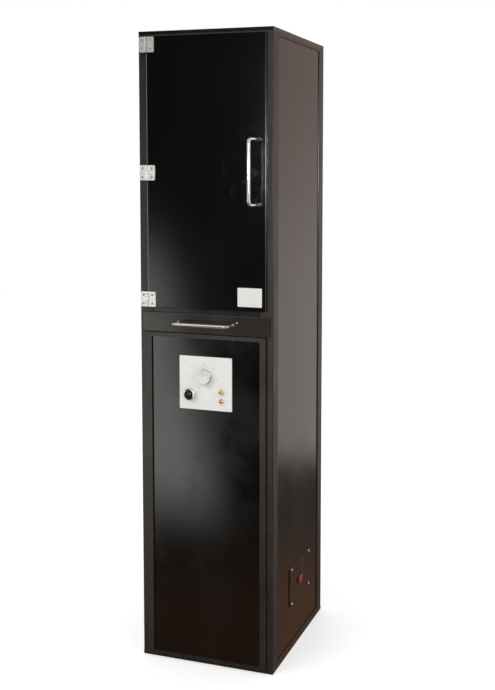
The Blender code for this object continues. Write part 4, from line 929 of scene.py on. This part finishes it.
class CABINET_OT_stage(bpy.types.Operator):
    """Camera, floor, soft lamps and world."""
    bl_idname = "cabinet.stage"
    bl_label = "Stage"

    def execute(self, context):
        context.scene.view_settings.view_transform = "Standard"
        set_camera()
        make_world(look())
        make_floor()
        soft_lamp("key_lamp", (-1.6, -2.8, 2.9), (0.0, -0.1, 0.9), (2.2, 1.6), 3.3)
        soft_lamp("side_lamp", (3.0, -0.6, 2.2), (0.1, 0.0, 0.9), (1.6, 1.6), 2.1)
        soft_lamp("rear_lamp", (-1.2, 3.2, 2.8), (0.0, 0.1, 0.9), (1.8, 1.6), 2.0)
        soft_lamp("catch_light", (1.10, -2.66, 1.43), (0.0, -0.22, 1.30), (0.06, 0.08), 2000.0, True)
        return {"FINISHED"}


class CABINET_OT_finishes(bpy.types.Operator):
    """Finishes on every node that keeps its own mesh."""
    bl_idname = "cabinet.finishes"
    bl_label = "Finishes"

    def execute(self, context):
        make_finishes(look())
        wear_and_shade = {}
        # painted shade on the posts' outer side faces
        for node in ("post_front_left", "post_front_right", "post_rear_left", "post_rear_right"):
            wear_and_shade[node] = {"dull_side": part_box("post_front_right")[1].x}
        for node in ("base_plate", "front_panel_surround"):
            wear_and_shade[node] = {}
        # painted shade: the top panel and the upper drawer rail take a darker copy of the frame coat, at half
        # its colour
        for node in ("top_panel", "drawer_rail_upper"):
            wear_and_shade[node] = {"colour": shaded(look().frame_colour, 0.5)[:3], "roughness": 0.13}
        wear_and_shade["drawer_front"] = {"roughness": 0.12, "peel": 0.025}
        wear_and_shade["side_cover"] = {"colour": look().side_colour, "roughness": 0.20, "peel": 0.05}
        finishes = {node: MADE[finish] for finish, nodes in NODE_FINISHES.items() for node in nodes}
        finishes.update({node: boxed_finish(node, look(), **settings) for node, settings in wear_and_shade.items()})
        finishes["door_panel"] = door_finish(look())
        bare = set(frame["nodes"]) - set(finishes)
        if bare:
            raise RuntimeError(f"nodes without a finish: {sorted(bare)}")
        for node, material in finishes.items():
            dress(node, material)
        return {"FINISHED"}


HANDLE_RADIUS, HANDLE_BEND, HANDLE_STUB = 0.0045, 0.011, 0.006
DOOR_GRIP_OFFSET = 0.0105         # how far the door's grip lies from its feet, towards the hinges


def add_handle(work, low, high, upright, offset):
    """A bent bar in the box of the CAD handle, with a small fillet of a foot at each end."""
    r, root, grip = HANDLE_RADIUS, high.y, low.y + HANDLE_RADIUS
    if upright:
        ends = [(high.x - r, z) for z in (low.z + r, high.z - r)]
    else:
        ends = [(x, (low.z + high.z) / 2) for x in (low.x + r, high.x - r)]
    feet = [Vector((x, root, z)) for x, z in ends]
    grips = [Vector((x - offset, grip, z)) for x, z in ends]
    corners = [feet[0], *grips, feet[1]]
    if offset:
        stub = Vector((0.0, -HANDLE_STUB, 0.0))
        corners = [feet[0], feet[0] + stub, *grips, feet[1] + stub, feet[1]]
    add_sweep(work, bend_path(corners, HANDLE_BEND), r, (1, 0, 0) if upright else UP, 28)
    for foot in feet:
        add_turned(work, [(r * 0.9, 0.0016), (r * 1.02, 0.0010), (r * 1.14, 0.0004), (r * 1.16, 0.0),
                          (0.0, 0.0), (0.0, 0.0016), (r * 0.9, 0.0016)], foot, FRONT, 36)


class CABINET_OT_handles(bpy.types.Operator):
    """The door's and the drawer's bent bar handles."""
    bl_idname = "cabinet.handles"
    bl_label = "Handles"

    def execute(self, context):
        for body, upright, offset in (("door", True, DOOR_GRIP_OFFSET), ("drawer", False, 0.0)):
            name = body + "_handle"
            work = bmesh.new()
            add_handle(work, *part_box(name), upright, offset)
            piece = piece_of(name + "_bar", mesh_of(work, name, 50), "chrome", body)
            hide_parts(name)
        return {"FINISHED"}


FRAME_LEAF_TRIM = 0.0055          # the frame leaf stops short of the cabinet's outer face
LEAF_THICKNESS = 0.002
KNUCKLES, KNUCKLE_GAP = 5, 0.00015


def add_leaf(work, low, high, pin, radius, hand):
    """A leaf with rounded outer corners and its share of the knuckles; hand is -1 for the frame's leaf."""
    outer = low.x + FRAME_LEAF_TRIM if hand < 0 else high.x
    inner = pin.x + hand * radius * 0.55
    front = pin.y + radius - LEAF_THICKNESS
    before = len(work.verts)
    add_block(work, (min(outer, inner), front, low.z), (max(outer, inner), front + LEAF_THICKNESS, high.z))
    work.verts.ensure_lookup_table()
    corners = [v for v in work.verts[before:] if abs(v.co.x - outer) < SAME_PLACE]
    edges = dict.fromkeys(e for v in corners for e in v.link_edges if all(w in corners for w in e.verts))
    bevel(work, [e for e in edges if abs(e.verts[0].co.z - e.verts[1].co.z) < SAME_PLACE], 0.003, 5)
    pitch = (high.z - low.z) / KNUCKLES
    for i in range(0 if hand < 0 else 1, KNUCKLES, 2):
        start, stop = low.z + i * pitch + KNUCKLE_GAP, low.z + (i + 1) * pitch - KNUCKLE_GAP
        profile = [(0.0, stop - start), (radius, stop - start), (radius, 0.0), (0.0, 0.0)]
        add_turned(work, rounded_profile(profile, 0.0004, 2), (pin.x, pin.y, start), UP, 24)


class CABINET_OT_hinges(bpy.types.Operator):
    """Butt hinges: leaves, interlocking knuckles, the spacers behind them and their cross-head screws."""
    bl_idname = "cabinet.hinges"
    bl_label = "Hinges"

    def execute(self, context):
        joint = next(j for j in frame["joints"] if j["name"] == "door_hinge")
        pin = Vector(joint["pos_m"])
        for kind, body, hand in (("frame", "cabinet", -1), ("door", "door", 1)):
            screws = []
            # the third hinge takes the darker copy of the nickel, as painted shade
            for i, finish in ((1, "nickel"), (2, "nickel"), (3, "painted_shade_nickel")):
                node = f"hinge_{kind}_leaf_{i}"
                low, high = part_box(node)
                radius = pin.y - low.y
                behind = pin.y + radius
                work = bmesh.new()
                add_leaf(work, low, high, pin, radius, hand)
                if hand < 0 and high.y > behind + 0.001:
                    add_block(work, (low.x + FRAME_LEAF_TRIM + 0.001, behind - 0.0001, low.z + 0.0005),
                              (pin.x - 0.005, high.y, high.z - 0.0005), 0.0006)
                x = low.x + FRAME_LEAF_TRIM + 0.0075 if hand < 0 else high.x - 0.0095
                screws += [(x, behind - LEAF_THICKNESS, (low.z + high.z) / 2 + dz) for dz in (0.012, -0.012)]
                leaf = piece_of(f"{node}_plate", mesh_of(work, node), finish, body)
                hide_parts(node)
            fix_screws(f"hinge_screws_{kind}", screws, TO_FRONT, fittings().hinge_screw, 0.0010,
                       "hinge_screw", 5 + hand, body)
        return {"FINISHED"}


class CABINET_OT_sheet_screws(bpy.types.Operator):
    """Screws of the side cover, of the rear sheet and of the mains inlet."""
    bl_idname = "cabinet.sheet_screws"
    bl_label = "Sheet screws"

    def execute(self, context):
        radius = fittings().sheet_screw
        low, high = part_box("side_cover")
        heights = (low.z + 0.0055, high.z - 0.0098)
        points = [(high.x, y, z) for y in (low.y + 0.016, high.y - 0.016) for z in heights]
        fix_screws("cover_screws", points, TO_RIGHT, radius, 0.0016, "steel", 11)
        low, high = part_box("rear_panel")
        rows = [low.z + 0.015 + i * (high.z - low.z - 0.03) / 6 for i in range(7)]
        points = [(x, high.y, z) for x in (low.x + 0.010, high.x - 0.010) for z in rows]
        points += [((low.x + high.x) / 2, high.y, z) for z in (rows[0], rows[-1])]
        fix_screws("rear_screws", points, TO_REAR, radius, 0.0018, "dark_steel", 17)
        low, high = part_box("mains_inlet")
        points = [(x, high.y - 0.0009, (low.z + high.z) / 2) for x in (low.x + 0.005, high.x - 0.005)]
        fix_screws("inlet_screws", points, TO_REAR, 0.0026, 0.0012, "steel", 23)
        return {"FINISHED"}


class CABINET_OT_inlet_pins(bpy.types.Operator):
    """The three flat pins in the mains inlet."""
    bl_idname = "cabinet.inlet_pins"
    bl_label = "Inlet pins"

    def execute(self, context):
        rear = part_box("mains_inlet")[1].y
        x, _, z = centre_of("mains_inlet")
        work = bmesh.new()
        for dx, dz in ((-0.007, -0.002), (0.007, -0.002), (0.0, 0.002)):
            add_block(work, (x + dx - 0.0011, rear - 0.0165, z + dz - 0.0020),
                      (x + dx + 0.0011, rear - 0.0030, z + dz + 0.0020), 0.0005)
        piece_of("inlet_pins", mesh_of(work, "inlet_pins"), "brass")
        return {"FINISHED"}


CAP, WALL = 0.012, 0.0011         # length of a tube's cap, and its glass wall


def add_tube_end(work, x, y, foot, way, radius, outer):
    """A crimped cap with the electrode's stem, its two posts and the coil between them."""
    axis = (0, 0, way)
    profile = [(0.0, CAP), (outer + 0.0002, CAP), (radius, CAP - 0.0008), (radius - 0.0004, CAP * 0.55),
               (radius, CAP * 0.4), (radius, 0.0016), (radius - 0.0022, 0.0), (0.0, 0.0)]
    add_turned(work, rounded_profile(profile, 0.0006, 3), (x, y, foot), axis, 40)
    add_turned(work, [(0.0, CAP + 0.014), (0.0022, CAP + 0.013), (0.0030, CAP), (0.0, CAP)],
               (x, y, foot), axis, 16)
    for dx in (-0.004, 0.004):
        add_turned(work, [(0.0, CAP + 0.022), (0.0005, CAP + 0.022), (0.0005, CAP), (0.0, CAP)],
                   (x + dx, y, foot), axis, 8)
    coil = [Vector((x - 0.004 + 0.008 * i / 60, y + 0.0011 * sin(i * 0.9),
                    foot + way * (CAP + 0.0218) + 0.0011 * cos(i * 0.9))) for i in range(61)]
    add_sweep(work, coil, 0.00035, (0, 1, 0.01), 6)


class CABINET_OT_tubes(bpy.types.Operator):
    """Lamp tubes: a thin glass envelope, crimped metal caps, and the electrodes inside."""
    bl_idname = "cabinet.tubes"
    bl_label = "Lamp tubes"

    def execute(self, context):
        for side in ("left", "right"):
            low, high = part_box(f"uv_tube_{side}")
            x, y, _ = centre_of(f"uv_tube_{side}")
            radius = (high.x - low.x) / 2
            outer = radius - 0.0006
            start, stop = CAP - 0.003, high.z - low.z - CAP + 0.003
            work = bmesh.new()
            add_turned(work, [(outer, stop), (outer, start), (outer - WALL, start), (outer - WALL, stop),
                              (outer, stop)], (x, y, low.z), UP, 40)
            bmesh.ops.remove_doubles(work, verts=work.verts, dist=SAME_PLACE)
            glass = piece_of(f"tube_glass_{side}", mesh_of(work, "tube_glass"), "glass")
            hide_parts(f"uv_tube_{side}")
            work = bmesh.new()
            for foot, way in ((low.z, 1), (high.z, -1)):
                add_tube_end(work, x, y, foot, way, radius, outer)
            piece_of(f"tube_ends_{side}", mesh_of(work, "tube_ends"), "silver")
        return {"FINISHED"}


class CABINET_OT_shelves(bpy.types.Operator):
    """Wire shelves that lie on the ledges."""
    bl_idname = "cabinet.shelves"
    bl_label = "Wire shelves"

    def execute(self, context):
        rod, wire = 0.0025, 0.0015
        for i in (1, 2, 3):
            node = f"wire_shelf_{i}"
            low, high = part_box(node)
            x, y, _ = centre_of(node)
            mesh = grown(node + "_wires", "wire_shelf", "chrome", Width=high.x - low.x - 2 * rod,
                         Depth=high.y - low.y - 2 * rod, Corner=0.014, Rod_Radius=rod, Wire_Radius=wire,
                         Lift=rod + wire - 0.0006, Overrun=0.001, Wires=fittings().wire_count,
                         Place=(x, y, low.z + rod))
            smooth_by_angle(mesh, 50)
            shelf = piece_of(node + "_wires", mesh, "chrome")
            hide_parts(node)
        return {"FINISHED"}


def ring_of_ribs(name, finish, place, **values):
    mesh = grown(name, "grip_ribs", finish, **values)
    mesh.transform(Matrix.Translation(place))
    smooth_by_angle(mesh, 50)
    return mesh


KNOB_HEIGHT = 0.013


class CABINET_OT_knob(bpy.types.Operator):
    """The timer's knob: a pale cap with a shallow dish, a ribbed silver side, and a pointer line."""
    bl_idname = "cabinet.knob"
    bl_label = "Timer knob"

    def execute(self, context):
        low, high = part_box("timer_knob")
        x, _, z = centre_of("timer_knob")
        radius, height = (high.x - low.x) / 2, KNOB_HEIGHT
        foot, grip = low.y + height, radius - 0.0010
        rim = grip - 0.0006
        profile = [(0.0, height - 0.0007), (grip * 0.76, height - 0.0006), (grip * 0.82, height),
                   (grip - 0.0016, height), (rim, height - 0.0008), (rim, height - 0.0022),
                   (0.0, height - 0.0022)]
        mesh = turned_mesh("knob_cap", profile, (x, foot, z), FRONT, 72, 28)
        face = piece_of("knob_cap", mesh, "knob", "knob")
        work = bmesh.new()
        profile = [(0.0, height - 0.0020), (grip - 0.0004, height - 0.0020), (grip, height - 0.0024),
                   (grip, 0.0030), (radius - 0.0002, 0.0022), (radius, 0.0006), (radius - 0.0008, 0.0),
                   (0.0, 0.0)]
        add_turned(work, profile, (x, foot, z), FRONT, 72)
        rear = -(high.y - foot)
        add_turned(work, [(0.0, 0.0), (0.003, 0.0), (0.003, rear), (0.0, rear)],
                   (x, foot + 0.0001, z), FRONT, 24)
        side = piece_of("knob_side", mesh_of(work, "knob_side", 28), "silver", "knob")
        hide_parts("timer_knob")
        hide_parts("timer_knob")
        ribs = ring_of_ribs("knob_ribs", "silver", (x, foot - height / 2 - 0.0002, z), Radius=grip,
                            Rib_Radius=0.0007, Length=height - 0.0062, Count=fittings().grip_ribs)
        piece_of("knob_ribs", ribs, "silver", "knob")
        work = bmesh.new()
        add_block(work, (x - 0.0006, low.y - PRINT, z + grip * 0.36),
                  (x + 0.0006, low.y + 0.0012, z + grip * 0.74), 0.0002)
        piece_of("knob_pointer", mesh_of(work, "knob_pointer"), "ink", "knob")
        return {"FINISHED"}


MARK_RING, FIGURE_RING = 0.0300, 0.0362


class CABINET_OT_dial(bpy.types.Operator):
    """The timer's scale on the control plate: fine marks with plain figures, and the plate's screws."""
    bl_idname = "cabinet.dial"
    bl_label = "Dial and plate screws"

    def execute(self, context):
        x, _, z = centre_of("timer_knob")
        low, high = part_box("control_plate")
        middle = low.y - PRINT / 2
        sweep = fittings().dial_sweep
        mesh = grown("dial_marks", "dial_marks", "ink", Radius=MARK_RING, Start=-sweep / 2, Sweep=sweep,
                     Line=0.00042, Length=0.0020, Thickness=PRINT, Long_Every=5.0,
                     Count=fittings().dial_marks)
        mesh.transform(Matrix.Translation((x, middle, z)))
        piece_of("dial_marks", mesh, "ink")
        work = bmesh.new()
        for i in range(7):
            angle = -sweep / 2 + sweep * i / 6
            figures = lettering(str(i * 10), 0.0058, PRINT)
            figures.transform(Matrix.Translation((x + FIGURE_RING * sin(angle), middle,
                                                  z + FIGURE_RING * cos(angle))))
            work.from_mesh(figures)
            bpy.data.meshes.remove(figures)
        mesh = bpy.data.meshes.new("dial_figures")
        work.to_mesh(mesh)
        work.free()
        piece_of("dial_figures", mesh, "ink")
        fix_screws("plate_screw_left", [(low.x + 0.0155, low.y, high.z - 0.016)], TO_FRONT, 0.0024, 0.0010,
                   "steel", 31)
        fix_screws("plate_screw_right", [(high.x - 0.007, low.y, high.z - 0.0045)], TO_FRONT, 0.0016, 0.0008,
                   "steel", 32)
        return {"FINISHED"}


BUTTON_WELL = -0.018              # floor of the bezel's bore, behind the plate's face


class CABINET_OT_button(bpy.types.Operator):
    """The push button's smooth dome and its polished bezel."""
    bl_idname = "cabinet.button"
    bl_label = "Push button"

    def execute(self, context):
        low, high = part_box("push_button")
        x, _, z = centre_of("push_button")
        radius = (high.x - low.x) / 2
        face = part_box("control_plate")[0].y
        proud, rise, rear = face - low.y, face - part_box("push_button_housing")[0].y, -(high.y - face)
        crown = proud - rise
        profile = [(0.0, proud)] + [(radius * cos(radians(a)), rise + crown * sin(radians(a)))
                                    for a in range(84, -1, -6)] + [(radius, rear), (0.0, rear)]
        mesh = turned_mesh("button_dome", profile, (x, face, z), FRONT, 56)
        dome = piece_of("button_dome", mesh, "button", "button")
        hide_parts("push_button")

        low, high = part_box("push_button_housing")
        bezel, bore, barrel = (high.x - low.x) / 2, radius + 0.0004, radius + 0.0013
        front, rear = face - low.y, -(high.y - face)
        profile = [(0.0, BUTTON_WELL), (bore, BUTTON_WELL), (bore, front - 0.0006), (bore + 0.0007, front),
                   (bezel - 0.0012, front - 0.0002), (bezel - 0.0002, front - 0.0012), (bezel, 0.0010),
                   (bezel, SEAT), (barrel, SEAT), (barrel, rear), (0.0, rear)]
        mesh = turned_mesh("button_bezel", profile, (x, face, z), FRONT, 56)
        ring = piece_of("button_bezel", mesh, "chrome")
        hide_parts("push_button_housing")
        return {"FINISHED"}


class CABINET_OT_sockets(bpy.types.Operator):
    """Knurled collars of the two brass sockets, black discs in their bores as painted shade, and a plain mark
    beside each.
    """
    bl_idname = "cabinet.sockets"
    bl_label = "Socket collars"

    def execute(self, context):
        low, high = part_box("signal_sockets")
        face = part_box("control_plate")[0].y
        x, half = (low.x + high.x) / 2, 0.008
        marks, bore_shade = bmesh.new(), bmesh.new()
        for i, z in enumerate((high.z - half, low.z + half)):
            name = f"socket_knurl_{i + 1}"
            knurl = ring_of_ribs(name, "brass", (x, face - 0.0018, z), Radius=0.0070, Rib_Radius=0.0004,
                                 Length=0.0024, Count=34)
            piece_of(name, knurl, "brass")
            # painted shade: a black plastic disc at the front of each socket stands for the shade inside its
            # bore
            add_turned(bore_shade, [(0.0, 0.0), (0.0, 0.0030), (0.0026, 0.0030), (0.0026, 0.0)],
                       (x, low.y + 0.0028, z), FRONT, 24)
            add_block(marks, (x + 0.0125, face - PRINT, z - 0.0004), (x + 0.0175, face, z + 0.0004))
            if i == 0:
                add_block(marks, (x + 0.0146, face - PRINT, z - 0.0025), (x + 0.0154, face, z + 0.0025))
        piece_of("socket_bores", mesh_of(bore_shade, "socket_bores"), "black_plastic")
        piece_of("socket_marks", mesh_of(marks, "socket_marks"), "ink")
        return {"FINISHED"}


class CABINET_OT_rocker(bpy.types.Operator):
    """The red power rocker with rounded edges."""
    bl_idname = "cabinet.rocker"
    bl_label = "Power rocker"

    def execute(self, context):
        work = bmesh.new()
        work.from_mesh(frame["nodes"]["power_rocker"].data)
        bmesh.ops.remove_doubles(work, verts=work.verts, dist=SAME_PLACE)
        bmesh.ops.dissolve_limit(work, angle_limit=radians(1.0), verts=work.verts, edges=work.edges)
        bevel(work, [e for e in work.edges if e.calc_face_angle(0.0) > 0.5], 0.0007, 3)
        rocker = piece_of("rocker_red", mesh_of(work, "rocker_red", 40), "red", "rocker")
        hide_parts("power_rocker")
        return {"FINISHED"}


class CABINET_OT_sticker(bpy.types.Operator):
    """A plain blank sticker low on the door."""
    bl_idname = "cabinet.sticker"
    bl_label = "Blank sticker"

    def execute(self, context):
        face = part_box("door_panel")[0].y
        work = bmesh.new()
        add_block(work, (0.099, face - 0.00025, 1.033), (0.170, face - 0.00005, 1.085))
        bevel(work, [e for e in work.edges if abs(e.verts[0].co.y - e.verts[1].co.y) > 1e-5], 0.0022, 5)
        piece_of("blank_sticker", mesh_of(work, "blank_sticker"), "sticker", "door")
        return {"FINISHED"}


PIECES = (CABINET_OT_finishes, CABINET_OT_handles, CABINET_OT_hinges, CABINET_OT_sheet_screws,
          CABINET_OT_inlet_pins, CABINET_OT_tubes, CABINET_OT_shelves, CABINET_OT_knob, CABINET_OT_dial,
          CABINET_OT_button, CABINET_OT_sockets, CABINET_OT_rocker, CABINET_OT_sticker)


class CABINET_PT_panel(bpy.types.Panel):
    """Lists the cabinet's settings and pieces."""
    bl_idname = "CABINET_PT_panel"
    bl_label = "UV Steriliser Cabinet"
    bl_space_type = "VIEW_3D"
    bl_region_type = "UI"
    bl_category = "Cabinet"

    def draw(self, context):
        for group in (context.scene.cabinet_look, context.scene.cabinet_fittings):
            box = self.layout.box()
            for label in group.bl_rna.properties.keys():
                if label not in ("rna_type", "name"):
                    box.prop(group, label)
        for piece in (CABINET_OT_stage, *PIECES):
            self.layout.operator(piece.bl_idname)


CLASSES = (CabinetLook, CabinetFittings, CABINET_OT_stage, *PIECES, CABINET_PT_panel)


def register():
    for each in CLASSES:
        bpy.utils.register_class(each)
    bpy.types.Scene.cabinet_look = PointerProperty(type=CabinetLook)
    bpy.types.Scene.cabinet_fittings = PointerProperty(type=CabinetFittings)


def unregister():
    del bpy.types.Scene.cabinet_fittings
    del bpy.types.Scene.cabinet_look
    for each in reversed(CLASSES):
        bpy.utils.unregister_class(each)


def main():
    register()
    for each in (CABINET_OT_stage, *PIECES):
        group, name = each.bl_idname.split(".")
        if getattr(getattr(bpy.ops, group), name)() != {"FINISHED"}:
            raise RuntimeError(f"{each.bl_idname} did not finish")
    bpy.context.view_layer.update()


if __name__ == "__main__":
    main()
